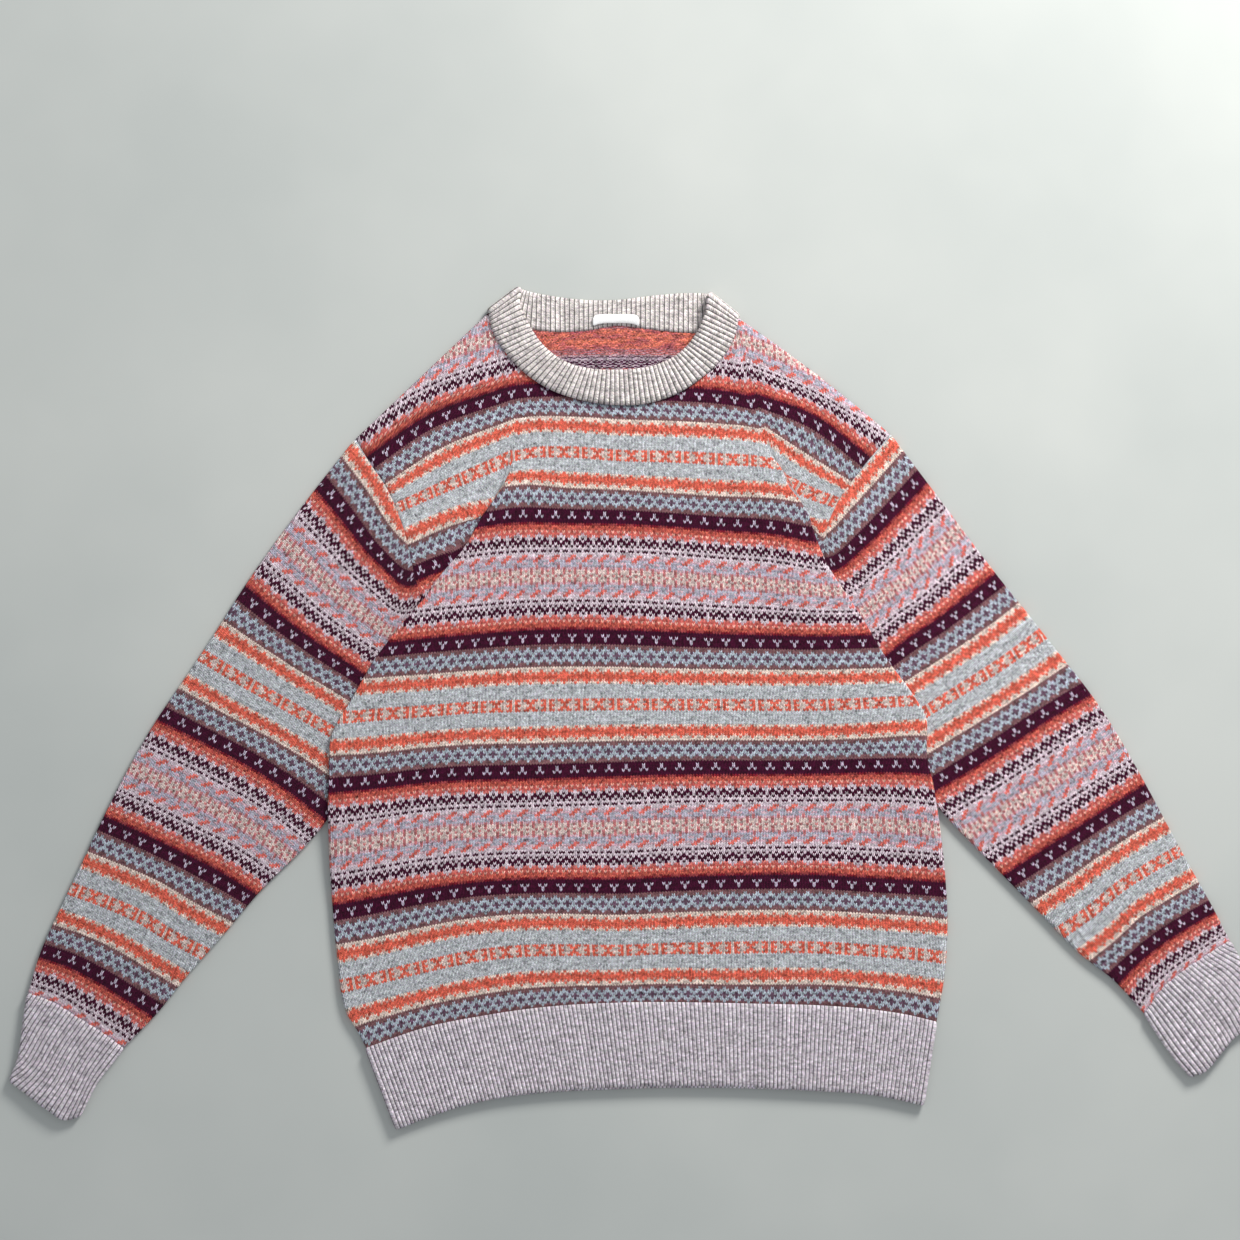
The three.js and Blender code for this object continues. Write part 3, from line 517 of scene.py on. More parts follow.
def cloth(name, points, faces, uv, materials, over=PLY, under=PLY, up=True):
    """Gives a middle surface its two sides and a rounded edge. over and under are the distances
    to its right side and its reverse, for all points or one by one. Returns the piece and the
    middle surface's area. Millimetres in, metres out."""
    area = sheet_area(points, faces)
    if not up:
        faces, uv = faces[:, ::-1], uv[:, ::-1]
    normal = vertex_normals(points, faces)
    count = len(points)
    over, under = (np.broadcast_to(np.asarray(t, float), (count,)).copy() for t in (over, under))
    a, b, face, corner = open_edges(faces)
    rim = np.unique(np.concatenate([a, b]))
    outward = np.zeros_like(points)
    for ends in (a, b):
        np.add.at(outward, ends, np.cross(points[b] - points[a], normal[ends]))
    outward = outward[rim] / np.maximum(np.linalg.norm(outward[rim], axis=1, keepdims=True), 1e-12)
    place = np.full(count, -1)
    place[rim] = np.arange(len(rim))
    reach = 0.5 * (over + under)[rim, None]
    over[rim] *= EDGE_THIN
    under[rim] *= EDGE_THIN
    top, bottom = points + normal * over[:, None], points - normal * under[:, None]
    middle = points[rim] + outward * reach * EDGE_ROUND + normal[rim] * (over - under)[rim, None] / 2
    verts = np.concatenate([top, bottom, middle])
    verts[:, 2] = np.maximum(verts[:, 2], TABLE_TOP)
    ra, rb = 2 * count + place[a], 2 * count + place[b]
    edge_uv = np.stack([uv[face, (corner + 1) % 4], uv[face, corner]], axis=1)[:, [0, 1, 1, 0]]
    quads = np.concatenate([
        faces, faces[:, ::-1] + count,
        np.stack([b, a, ra, rb], axis=1), np.stack([rb, ra, a + count, b + count], axis=1),
    ])
    maps = np.concatenate([uv, uv[:, ::-1], edge_uv, edge_uv])
    slots = np.concatenate([np.zeros(len(faces)), np.ones(len(faces)), np.zeros(2 * len(a))])
    mesh = bpy.data.meshes.new(name)
    mesh.vertices.add(len(verts))
    mesh.vertices.foreach_set("co", ((verts + SHIFT) * MM).ravel())
    mesh.loops.add(4 * len(quads))
    mesh.loops.foreach_set("vertex_index", quads.ravel().astype(np.int32))
    mesh.polygons.add(len(quads))
    mesh.polygons.foreach_set("loop_start", np.arange(0, 4 * len(quads), 4, dtype=np.int32))
    layer = mesh.uv_layers.new(name="stitches")
    layer.data.foreach_set("uv", maps.reshape(-1, 2).ravel())
    for material in materials:
        mesh.materials.append(material)
    if len(materials) > 1:
        mesh.polygons.foreach_set("material_index", slots.astype(np.int32))
    mesh.update(calc_edges=True)
    mesh.validate()
    mesh.shade_smooth()
    piece = bpy.data.objects.new(name, mesh)
    bpy.context.scene.collection.objects.link(piece)
    return piece, area


# ---- the front, with its two tucks ---------------------------------------------------------

class Side:
    """One side of the front: its edge by knit row, and what is folded under it."""

    def __init__(self, sign, edge, yoke, depth):
        self.sign, self.yoke, self.depth = sign, yoke, depth
        line = curve(edge, 600)
        first, last = line[0] - line[9], line[-1] - line[-10]
        beyond = np.array([[4.0], [2.0]])       # two places past each end
        self.line = np.concatenate([line[0] + first * beyond, line, line[-1] + last * beyond[::-1]])
        rows = np.arange(FIRST_ROW - 20, LAST_ROW + 25, 0.5)
        at = np.array([
            np.interp(-y, -front_y(np.full(len(rows), x), rows), rows) for x, y in self.line
        ])
        self.row = np.maximum.accumulate(at + np.arange(len(at)) * 1e-6)

    def edge(self, row):
        return at_lengths(self.row, self.line, row)

    def outward(self, row):
        """Direction across the edge, away from the chest."""
        step = self.edge(row + 4) - self.edge(row - 4)
        step /= np.linalg.norm(step, axis=1, keepdims=True)
        out = np.stack([step[:, 1], -step[:, 0]], axis=1)
        return out * np.sign(out[:, :1]) * self.sign


BEND, FLAT, TURN = 7, 4, 6      # columns round the edge, along the tuck, round its inner fold
BEND_RADIUS = 1.2
BEND_RUN = 2.0                  # least length of cloth in the bend
FOLDED = 2.0                    # angle from which the cloth doubles back
LEAST_TUCK = 0.8
FREE_ROW = 140                  # knit row from which no sleeve lies under the edge


def fold_angle(drop):
    """Angle to which the cloth bends at the edge so that the next ply lies lower by drop."""
    angles = np.linspace(0.001, math.pi, 400)
    run = np.maximum(BEND_RADIUS * angles, BEND_RUN)
    drops = np.maximum.accumulate(2 * run / angles * (1 - np.cos(angles)))
    return np.interp(drop, drops, angles)


def tuck(side, row):
    """Columns from the chest's end round the edge to the inner fold, for each knit row, and the
    places where the chest ends."""
    edge, out = side.edge(row), side.outward(row)
    z, lift = front_z(*edge.T), body_lift(*edge.T)
    free = smooth((row - FREE_ROW) / 12.0)
    below = smooth((row - UNDERARM_ROW + 3) / 5.0)  # 1 where the cloth ends inside the tuck
    angle = fold_angle(np.minimum(lift, 4 * BEND_RADIUS))
    angle = angle + (math.pi - angle) * np.maximum(below, free)
    radius = np.maximum(BEND_RADIUS, BEND_RUN / angle)
    radius = radius + (np.maximum((z - BACK_Z) / 2, BEND_RADIUS) - radius) * free
    depth = np.interp(row, *np.array(side.depth, float).T) * smooth(angle - FOLDED)
    depth = np.maximum(depth, LEAST_TUCK)
    start = edge - out * (radius * np.sin(np.minimum(angle, math.pi / 2)))[:, None]
    arrive = through(*table(side.yoke), np.minimum(row, UNDERARM_ROW))[:, 2]
    away = arrive - edge
    along = away - out * (away * out).sum(axis=1, keepdims=True)
    along *= (smooth((row + 14) / 14.0) * (1 - below))[:, None]
    columns = []

    def put(offset, height, share):
        place = start + out * offset[:, None] + along * (0.5 * share)
        columns.append(np.concatenate([place, (z - height)[:, None]], axis=1))

    for k in range(BEND + 1):
        turn = angle * k / BEND
        put(radius * np.sin(turn), radius * (1 - np.cos(turn)), 0.3 * (k / BEND) ** 2)
    x, h = radius * np.sin(angle), radius * (1 - np.cos(angle))
    direction = np.where(angle > FOLDED, -1.0, np.cos(angle))
    for k in range(1, FLAT + 1):
        put(x + direction * depth * k / FLAT, h, 0.3 + 0.7 * k / FLAT)
    x = x + direction * depth
    for k in range(1, TURN + 1):
        turn = angle * (1 - k / TURN * (1 - below))
        straight = below * radius * 0.7 * k / TURN
        put(x + radius * (np.sin(angle) - np.sin(turn)) - straight,
            h + radius * (np.cos(turn) - np.cos(angle)), 1.0)
    return columns, start


NECK_CLEAR = 0.4        # space between the front and the collar's seam
SHOULDER_BOW = 3.0      # how far the right shoulder seam bows up
SHOULDER_FALL = 6.0     # width over which the walls come together at the shoulder seams
NECK_FADE = 10.0        # length over which that starts beside the collar


def with_shoulders(neck):
    """Shoulder, neckline, shoulder, as a line from left to right."""
    left, right = (np.array(sections[0][1][0]) for sections in (SLEEVE_LEFT, SLEEVE_RIGHT))
    share = np.linspace(0, 1, 40)[:, None]
    bow = np.concatenate([share * 0, SHOULDER_BOW * np.sin(np.pi * share)], axis=1)
    return np.concatenate([
        left + (neck[0] - left) * share, neck[1:-1], neck[-1] + (right - neck[-1]) * share + bow,
    ])


def top_line():
    return with_shoulders(curve([seam for seam, _ in COLLAR_FRONT], 160) - [0, NECK_CLEAR])


def shoulder_share(x, y):
    """1 at the shoulder seam, 0 a little below it and along the neckline."""
    below = np.interp(x, *top_line().T) - y
    left, right = COLLAR_FRONT[0][0][0], COLLAR_FRONT[-1][0][0]
    beside = smooth((left - x) / NECK_FADE) + smooth((x - right) / NECK_FADE)
    return (1 - smooth(below / SHOULDER_FALL)) * beside


def crossing_rows(grid, rows):
    """For each column, the knit row at which it meets the shoulder or neckline."""
    above = grid[:, :, 1] - np.interp(grid[:, :, 0], *top_line().T)
    found = np.zeros(grid.shape[1])
    for j in range(grid.shape[1]):
        high = np.nonzero((above[:, j] > 0) & (rows < 20))[0]
        k = high.max() if len(high) else 0
        a, b = above[k, j], above[k + 1, j]
        found[j] = rows[k] + (rows[k + 1] - rows[k]) * a / (a - b)
    return found


def at_rows(grid, rows):
    """Reads a grid made at every whole row at given rows: (rows, columns). At the shoulder seams
    the cloth comes down to the back."""
    place = np.clip(rows - FIRST_ROW, 0, len(grid) - 1.001)
    i = place.astype(int)
    t = (place - i)[..., None]
    j = np.arange(grid.shape[1])[None, :]
    read = grid[i, j] * (1 - t) + grid[i + 1, j] * t
    read[..., 2] -= shoulder_share(read[..., 0], read[..., 1])
    return read


SEAM_OPEN = 0.9         # space at the armhole seam near the shoulder
SEAM_DIP = 1.2          # how far the cloth dips at that seam, and over what width
SEAM_DIP_WIDE = 4.0
UNDER_COLUMNS = 8       # columns of the yoke that lie hidden under the chest's edge


def yoke_grid(side, columns, counts, inner, number, rows):
    """Front between armhole and tuck, as far as the inner fold it hangs on: places and stitches."""
    seam, middle, meet = np.moveaxis(through(*table(side.yoke), rows), 1, 0)
    toward = (middle - seam) / np.linalg.norm(middle - seam, axis=1, keepdims=True)
    seam = seam + toward * SEAM_OPEN * (1 - smooth((rows[:, None] + 20) / 25.0))
    out = side.outward(rows)
    depth = ((meet - inner[:, :2]) * out).sum(axis=1)
    near = smooth(depth / 4.0)[:, None]
    end = inner[:, :2] + (meet - inner[:, :2]) * near + out * 1.5 * (1 - near)
    share = np.linspace(0, 1, columns + 1)
    shown = np.stack([
        through([0, 0.5, 1], np.stack(three), share) for three in zip(seam, middle, end)
    ])
    tucked = np.linspace(0, 1, UNDER_COLUMNS + 1)[None, 1:, None]
    under = end[:, None] * (1 - tucked) + inner[:, None, :2] * tucked
    flat = np.concatenate([shown, under], axis=1)
    rise = FRONT_Z + crease_height(flat[..., 0], flat[..., 1])
    rise -= SEAM_DIP * (1 - smooth(along_row(flat) / SEAM_DIP_WIDE))
    blend = smooth((np.concatenate([share, np.ones(UNDER_COLUMNS)]) - 0.6) / 0.4)[None]
    high = rise * (1 - blend) + inner[:, 2:3] * blend
    points = np.concatenate([flat, high[..., None]], axis=2)
    points[:, -1] = inner
    run = along_row(points)
    stitch = number[:, None] + side.sign * (run[:, -1:] - run) / STITCH
    added, rate = columns_at(counts, rows)
    counted = added[:, None] + rate[:, None] * stitch
    hidden = smooth(np.concatenate([share * 0, tucked.ravel()]))[None]
    stitch = counted * (1 - hidden) + stitch * hidden
    return np.concatenate([points, stitch[..., None]], axis=2)


CHEST_COLUMNS = 168
YOKE_COLUMNS = (34, 28)
LEVELS_BELOW, LEVELS_ABOVE = 84, 40     # mesh rows below and above the underarm


def chest_grid(sides, rows):
    """Chest with the tuck at each side, for every knit row: places and stitch numbers."""
    (left_columns, left), (right_columns, right) = (tuck(side, rows) for side in sides)
    share = np.linspace(0, 1, CHEST_COLUMNS + 1)[None, :]
    x = left[:, :1] * (1 - share) + right[:, :1] * share
    y = front_y(x.ravel(), np.repeat(rows, CHEST_COLUMNS + 1)).reshape(x.shape)
    # the ends of each row are where the edges begin, whatever the tables give there
    fade_left, fade_right = smooth(1 - share * 12), smooth(1 - (1 - share) * 12)
    y += (left[:, 1:] - y[:, :1]) * fade_left + (right[:, 1:] - y[:, -1:]) * fade_right
    middle = np.stack([x, y, front_z(x, y)], axis=2)
    fold_left, fold_right = np.stack(left_columns[::-1], axis=1), np.stack(right_columns, axis=1)
    middle[:, 0, 2], middle[:, -1, 2] = fold_left[:, -1, 2], fold_right[:, 0, 2]
    grid = np.concatenate([fold_left[:, :-1], middle, fold_right[:, 1:]], axis=1)
    folds = fold_left.shape[1] - 1
    run = along_row(grid)
    zero, narrow, wide = columns_at(STITCH_LINE, rows)
    centre = np.array([
        np.interp(zero[i], grid[i, folds:-folds, 0], run[i, folds:-folds]) for i in range(len(rows))
    ])
    offset = run - centre[:, None]
    stitch = offset / np.where(offset < 0, narrow[:, None], wide[:, None])
    stitch = stitch - stitch_drift(rows, stitch)
    return np.concatenate([grid, stitch[:, :, None]], axis=2)


def make_front(materials):
    rows = np.arange(FIRST_ROW, LAST_ROW)
    sides = [
        Side(-1, EDGE_LEFT, YOKE_LEFT, TUCK_DEPTH_LEFT),
        Side(1, EDGE_RIGHT, YOKE_RIGHT, TUCK_DEPTH_RIGHT),
    ]
    chest = chest_grid(sides, rows)
    crossing = crossing_rows(chest, rows)
    upward = np.linspace(0, 1, LEVELS_ABOVE + 1)[:, None]
    down = np.linspace(HEM_ROW, UNDERARM_ROW, LEVELS_BELOW + 1)[:, None] + 0 * crossing[None, :]
    up = UNDERARM_ROW + (crossing[None, :] - UNDERARM_ROW) * upward[1:]
    chosen = np.concatenate([down, up])
    height, width = chosen.shape
    faces, _ = grid_faces(height, width)
    points, maps = at_rows(chest, chosen).reshape(-1, 4), chosen.ravel()
    # each yoke shares its last column with the chest's end column
    for side, columns, counts, column in zip(
        sides, YOKE_COLUMNS, (YOKE_COUNT_LEFT, YOKE_COUNT_RIGHT), (0, width - 1),
    ):
        yoke = yoke_grid(side, columns, counts, chest[:, column, :3], chest[:, column, 3], rows)
        top = crossing_rows(yoke, rows)
        top[-1] = crossing[column]
        levels = UNDERARM_ROW + (top[None, :] - UNDERARM_ROW) * upward
        part = at_rows(yoke, levels).reshape(-1, 4)
        more, _ = grid_faces(*levels.shape)
        if column:
            more = more[:, ::-1]
        level = np.arange(LEVELS_ABOVE + 1)
        last = len(points) + level * levels.shape[1] + levels.shape[1] - 1
        swap = np.arange(len(points) + len(part))
        swap[last] = (LEVELS_BELOW + level) * width + column
        faces = np.concatenate([faces, swap[more + len(points)]])
        points = np.concatenate([points, part])
        maps = np.concatenate([maps, levels.ravel()])
    used = np.unique(faces)
    renumber = np.zeros(len(points), int)
    renumber[used] = np.arange(len(used))
    points, maps, faces = points[used], maps[used], renumber[faces]
    uv = np.stack([points[:, 3], maps], axis=1)[faces]
    return cloth("front_panel", points[:, :3], faces, uv, materials)


# ---- the back ------------------------------------------------------------------------------

BACK_INSET = 6.0                # how far the back's sides lie inside the front's
BACK_ACROSS, BACK_UP = 141, 171


def make_back(materials):
    sides = []
    for points, sign, sleeve in ((BACK_LEFT, -1, SLEEVE_LEFT), (BACK_RIGHT, 1, SLEEVE_RIGHT)):
        side = curve(points, 80)
        side[:, 0] -= sign * BACK_INSET * smooth((-70 - side[:, 1]) / 40.0)
        arm = curve(sleeve[0][1], 40)[::-1]
        sides.append(curve(np.concatenate([side[:-1], arm]), BACK_UP))
    left, right = sides
    top = curve(with_shoulders(curve([seam for seam, _ in COLLAR_BACK], 80)), BACK_ACROSS)
    across = np.linspace(0, 1, BACK_ACROSS)
    hem = hem_line("seam", across)
    hem[:, 0] = left[0, 0] + (right[0, 0] - left[0, 0]) * across
    u, v = across[None, :, None], np.linspace(0, 1, BACK_UP)[:, None, None]
    grid = hem[None] * (1 - v) + top[None] * v + left[:, None] * (1 - u) + right[:, None] * u
    grid -= (
        hem[0] * (1 - u) * (1 - v) + hem[-1] * u * (1 - v) + top[0] * (1 - u) * v + top[-1] * u * v
    )
    z = BACK_Z + shoulder_share(grid[..., 0], grid[..., 1])
    points = np.concatenate([grid, z[..., None]], axis=2)
    rows = np.interp(points[:, :, 1] - points[:1, :, 1], *np.array(BACK_ROWS, float).T)
    number = along_row(points) / STITCH
    number -= number[:, BACK_ACROSS // 2, None]
    faces, mapped = grid_faces(BACK_UP, BACK_ACROSS)
    uv = np.stack([-number.ravel(), rows.ravel()], axis=1)[mapped]
    # the right side of the back faces the table
    return cloth("back_panel", points.reshape(-1, 3), faces, uv, materials, up=False)


# ---- tubes ---------------------------------------------------------------------------------

QUARTERS = [0, 0.25, 0.5, 0.75, 1]
SHARES = np.linspace(0, 1, 61)
EDGE_PLACES = 6                 # places round each folded edge of a flattened tube
EDGE_ANGLES = np.radians(np.linspace(90, -90, EDGE_PLACES + 2)[1:-1])


def between_sections(keys, sections, levels):
    """Sections filled in to given levels and to the SHARES across: (levels, shares, values)."""
    placed = np.moveaxis(through(keys, sections, levels), 1, 0)
    return np.moveaxis(through(QUARTERS, placed, SHARES), 0, 1)


def flattened(plan, upper, lower, radius, low_z, height):
    """Rings of a tube that lies flat. plan is (levels, fine places across, 2), upper and lower
    count the places on its two walls, and height gives the upper wall's middle from plan places,
    shares across and level."""
    rings = []
    for k, line in enumerate(plan):
        run = lengths(line)
        across = np.linspace(radius, run[-1] - radius, upper)
        top = at_lengths(run, line, across)
        top_z = height(top, across / run[-1], k)

        def edge(place, out, high_z, angles):
            rise = (high_z - low_z) / 2
            flat = place + out / np.linalg.norm(out) * radius * np.cos(angles)[:, None]
            return np.column_stack([flat, low_z + rise + rise * np.sin(angles)])

        under = at_lengths(run, line, np.linspace(run[-1] - radius, radius, lower))
        rings.append(np.concatenate([
            np.column_stack([top, top_z]),
            edge(top[-1], line[-1] - line[-4], top_z[-1], EDGE_ANGLES),
            np.column_stack([under, np.full(lower, low_z)]),
            edge(top[0], line[0] - line[3], top_z[0], EDGE_ANGLES[::-1]),
        ]))
    return np.array(rings)


def ring_lengths(rings):
    """Distance round each ring, closed by one more column."""
    return along_row(np.concatenate([rings, rings[:, :1]], axis=1))


SLEEVE_STEP = 1.5                       # knit rows between two rings of a sleeve
SLEEVE_UPPER, SLEEVE_LOWER = 46, 30     # places on its walls
SLEEVE_RADIUS = 1.55                    # roundness of its folded edges
ARMHOLE_DIP = 1.1
SLEEVE_PUFF = (0.5, 1.1)                # air in it at the armhole, and more further down


def make_sleeve(name, sections, counts, sign, materials):
    numbers, places = table(sections)
    first = numbers[0, 1]
    levels = np.append(np.arange(first, SLEEVE_END - 0.7, SLEEVE_STEP), SLEEVE_END)
    sections = np.concatenate([places, numbers[..., None]], axis=2)
    fine = between_sections(numbers[:, 1], sections, levels)
    plan, row = fine[..., :2], fine[..., 2]

    def height(place, share, k):
        covered = smooth(body_lift(*place.T) / LIFT) * smooth((share - 0.6) / 0.3)
        puff = np.sin(np.pi * share) ** 2 * (1 - covered)
        dip = ARMHOLE_DIP * (1 - smooth(k / 2.5))
        air = SLEEVE_PUFF[0] + SLEEVE_PUFF[1] * smooth(k / 14.0)
        return FRONT_Z - dip + (air + crease_height(*place.T)) * puff

    rings = flattened(plan, SLEEVE_UPPER, SLEEVE_LOWER, SLEEVE_RADIUS, BACK_Z, height)
    number = ring_lengths(rings) / STITCH
    number -= number[:, SLEEVE_UPPER // 2, None]
    shares = np.concatenate([
        np.linspace(0, 1, SLEEVE_UPPER), np.ones(EDGE_PLACES),
        np.linspace(1, 0, SLEEVE_LOWER), np.zeros(EDGE_PLACES + 1),
    ])
    rows = np.stack([np.interp(shares, SHARES, line) for line in row])
    faces, mapped = grid_faces(*rings.shape[:2], wrap=True)
    middle, rate = columns_at(counts, rows.ravel())
    uv = np.stack([middle - sign * rate * number.ravel(), rows.ravel()], axis=1)[mapped]
    return cloth(name, rings.reshape(-1, 3), faces, uv, materials, up=sign > 0)


# ---- ribs ----------------------------------------------------------------------------------

RIB_RADIUS = 1.6        # roundness of the folded edges of hem and cuffs
RIB_PLACES = 6          # places across one rib
CUFF_RIBS, CUFF_UPPER, CUFF_LOWER = 52, 156, 120
CUFF_TURNED = 0.38      # share of a cuff's upper ribs that turn under by its free edge
HEM_RIBS, HEM_UPPER, HEM_LOWER = 274, 137 * RIB_PLACES, 100 * RIB_PLACES
HEM_BACK_DROP = 2.2     # the back wall shows below the front at mid hem
COLLAR_RIBS, COLLAR_RIBS_FRONT, COLLAR_RIBS_BACK = 114, 68, 46
COLLAR_RADIUS = 2.1
COLLAR_Z = 6.0
COLLAR_ARCH = 2.2
COLLAR_STAND = 6.5      # how far the free edge stands up at the right corner
COLLAR_OUT = np.array([0.61, 0.79])     # way in which its folded right end points


def rib_profile(number):
    """Height of a 1x1 rib at a rib number, 1 on the knit stitch and 0 on the purl."""
    return (0.5 + 0.5 * np.cos(2 * np.pi * number)) ** 0.55


def ribbed(name, rings, ribs, material, raise_over, raise_under, up=True, upper=0, turned=0.0):
    """Rings of a ribbed tube; ribs is their count round it. On the upper wall, which is the first
    upper points of a ring, a share of the ribs may turn under the first edge by the last ring."""
    levels, count = rings.shape[:2]
    run = ring_lengths(rings)
    number = np.broadcast_to((run / run[:, -1:] * ribs).mean(axis=0), run.shape)
    if turned:
        last = number[:, upper - 1:upper]
        gone = turned * np.linspace(0, 1, levels)[:, None] * last
        shown = gone + number * (1 - gone / last)
        hidden = last + (number - last) * (ribs + gone - last) / (ribs - last)
        number = np.where(np.arange(count + 1)[None, :] < upper, shown, hidden)
    steps = np.linalg.norm(np.diff(rings, axis=0), axis=2).mean(axis=1)
    down = np.concatenate([[0], np.cumsum(steps)])
    ridge = rib_profile(number[:, :-1]).ravel()
    faces, mapped = grid_faces(levels, count, wrap=True)
    uv = np.stack([number.ravel(), np.repeat(down / ROW, count + 1)], axis=1)[mapped]
    over, under = RIB_PLY + raise_over * ridge, RIB_PLY + raise_under * (1 - ridge)
    return cloth(name, rings.reshape(-1, 3), faces, uv, [material], over=over, under=under, up=up)


def make_cuff(name, sections, sign, material):
    levels = np.linspace(0, 1, 26)
    plan = between_sections(CUFF_LEVELS, np.array(sections, float), levels)

    def height(place, share, k):
        puff = np.sin(np.pi * share) ** 2
        return RIB_HIGH_Z + (1.5 - 0.5 * levels[k] + 0.6 * crease_height(*place.T)) * puff

    rings = flattened(plan, CUFF_UPPER, CUFF_LOWER, RIB_RADIUS, RIB_LOW_Z, height)
    return ribbed(
        name, rings, CUFF_RIBS, material, 0.8, 0.3,
        up=sign > 0, upper=CUFF_UPPER, turned=CUFF_TURNED,
    )


def hem_line(edge, across):
    """Places on the hem rib's seam or end at shares across."""
    lx, ly, rx, ry = HEM_CORNERS[edge]
    seam_rise, end_rise = columns_at(HEM_ARCH, across)
    rise = seam_rise if edge == "seam" else end_rise
    return np.stack([lx + (rx - lx) * across, ly + (ry - ly) * across + rise], axis=1)


def make_hem(material):
    across = np.linspace(0, 1, 241)
    levels = np.linspace(0, 1, 22)
    plan = filled(hem_line("seam", across) - [0, 0.3], hem_line("end", across), levels)

    def height(place, share, k):
        return RIB_HIGH_Z + 0.9 * np.sin(np.pi * share) + crease_height(*place.T)

    rings = flattened(plan, HEM_UPPER, HEM_LOWER, RIB_RADIUS, RIB_LOW_Z, height)
    first = HEM_UPPER + EDGE_PLACES
    sag = np.sin(np.pi * np.linspace(0, 1, HEM_LOWER))[None, :] ** 2
    rings[:, first:first + HEM_LOWER, 1] -= levels[:, None] * HEM_BACK_DROP * sag
    return ribbed("hem_rib_knit", rings, HEM_RIBS, material, 0.85, 0.3, up=False)


def make_collar(material):
    levels = np.linspace(0, 1, 14)

    def wall(rows, ribs):
        return filled(*np.moveaxis(paired(rows, ribs * RIB_PLACES + 1), 1, 0), levels)

    share = np.linspace(0, 1, COLLAR_RIBS_FRONT * RIB_PLACES + 1)[None, :]
    level = levels[:, None]
    arch = COLLAR_ARCH * np.sin(np.pi * share) * np.sin(np.pi * (0.15 + 0.6 * level))
    stand = COLLAR_STAND * smooth((share - 0.76) / 0.24) * smooth(level)
    front = wall(COLLAR_FRONT, COLLAR_RIBS_FRONT)
    front = np.concatenate([front, (COLLAR_Z + arch + stand)[..., None]], axis=2)
    back = wall(COLLAR_BACK, COLLAR_RIBS_BACK)[:, ::-1]
    back = np.concatenate([back, np.full(back.shape[:2] + (1,), RIB_LOW_Z)], axis=2)

    def corner(place, out, angles):
        flat = place[:, None, :2] + out * (COLLAR_RADIUS * np.cos(angles))[None, :, None]
        middle, reach = (place[:, 2:3] + RIB_LOW_Z) / 2, (place[:, 2:3] - RIB_LOW_Z) / 2
        z = middle + reach * np.sin(angles)[None, :]
        return np.concatenate([flat, z[..., None]], axis=2)

    rings = np.concatenate([
        front, corner(front[:, -1], COLLAR_OUT, EDGE_ANGLES),
        back, corner(front[:, 0], COLLAR_OUT * [-1, 1], EDGE_ANGLES[::-1]),
    ], axis=1)
    return ribbed("collar_rib_knit", rings, COLLAR_RIBS, material, 0.8, 0.8)


LABEL_HALF_WIDE = 20.0
LABEL_MIDDLE = -10.0
LABEL_LOW, LABEL_TOP = 332.8, 342.8
LABEL_Z = 4.7
LABEL_PLY = 0.25


def make_label(material):
    u, v = np.linspace(0, 1, 49)[None, :], np.linspace(0, 1, 9)[:, None]
    end = np.abs(2 * u - 1)
    bottom, top = LABEL_LOW + 2.4 * (1 - end ** 4), LABEL_TOP - 0.5 * end ** 2 - 2.0 * end ** 14
    waist = 1 - 0.035 * np.abs(2 * v - 1) ** 4
    x = LABEL_MIDDLE + LABEL_HALF_WIDE * (2 * u - 1) * waist
    y = bottom + (top - bottom) * v
    z = LABEL_Z + 0.6 * np.sin(np.pi * v) + 0.25 * np.cos(2 * np.pi * u)
    points = np.stack([x, y, z], axis=2)
    faces, mapped = grid_faces(*points.shape[:2])
    uv = np.stack([x.ravel(), y.ravel()], axis=1)[mapped]
    flat = points.reshape(-1, 3)
    return cloth("neck_label_tape", flat, faces, uv, [material], over=LABEL_PLY, under=LABEL_PLY)


# ---- knit chart ----------------------------------------------------------------------------

YARNS = {
    "marl": (202, 205, 210), "cream": (240, 218, 206), "oat": (228, 204, 196),
    "shell": (240, 178, 162), "vermilion": (236, 110, 90), "coral": (216, 104, 96),
    "ember": (216, 104, 88), "salmon": (228, 128, 122), "peach": (246, 178, 162),
    "brick": (180, 78, 72), "garnet": (128, 26, 42), "russet": (158, 66, 70), "plum": (134, 94, 98),
    "heather": (112, 84, 104), "aubergine": (68, 10, 42), "ice": (200, 186, 206),
    "lilac": (226, 208, 218), "sky": (184, 194, 206), "orange": (232, 118, 108),
    "slate": (192, 188, 204), "mauve": (222, 182, 194), "blush": (232, 208, 202),
    "rose": (206, 126, 128),
}

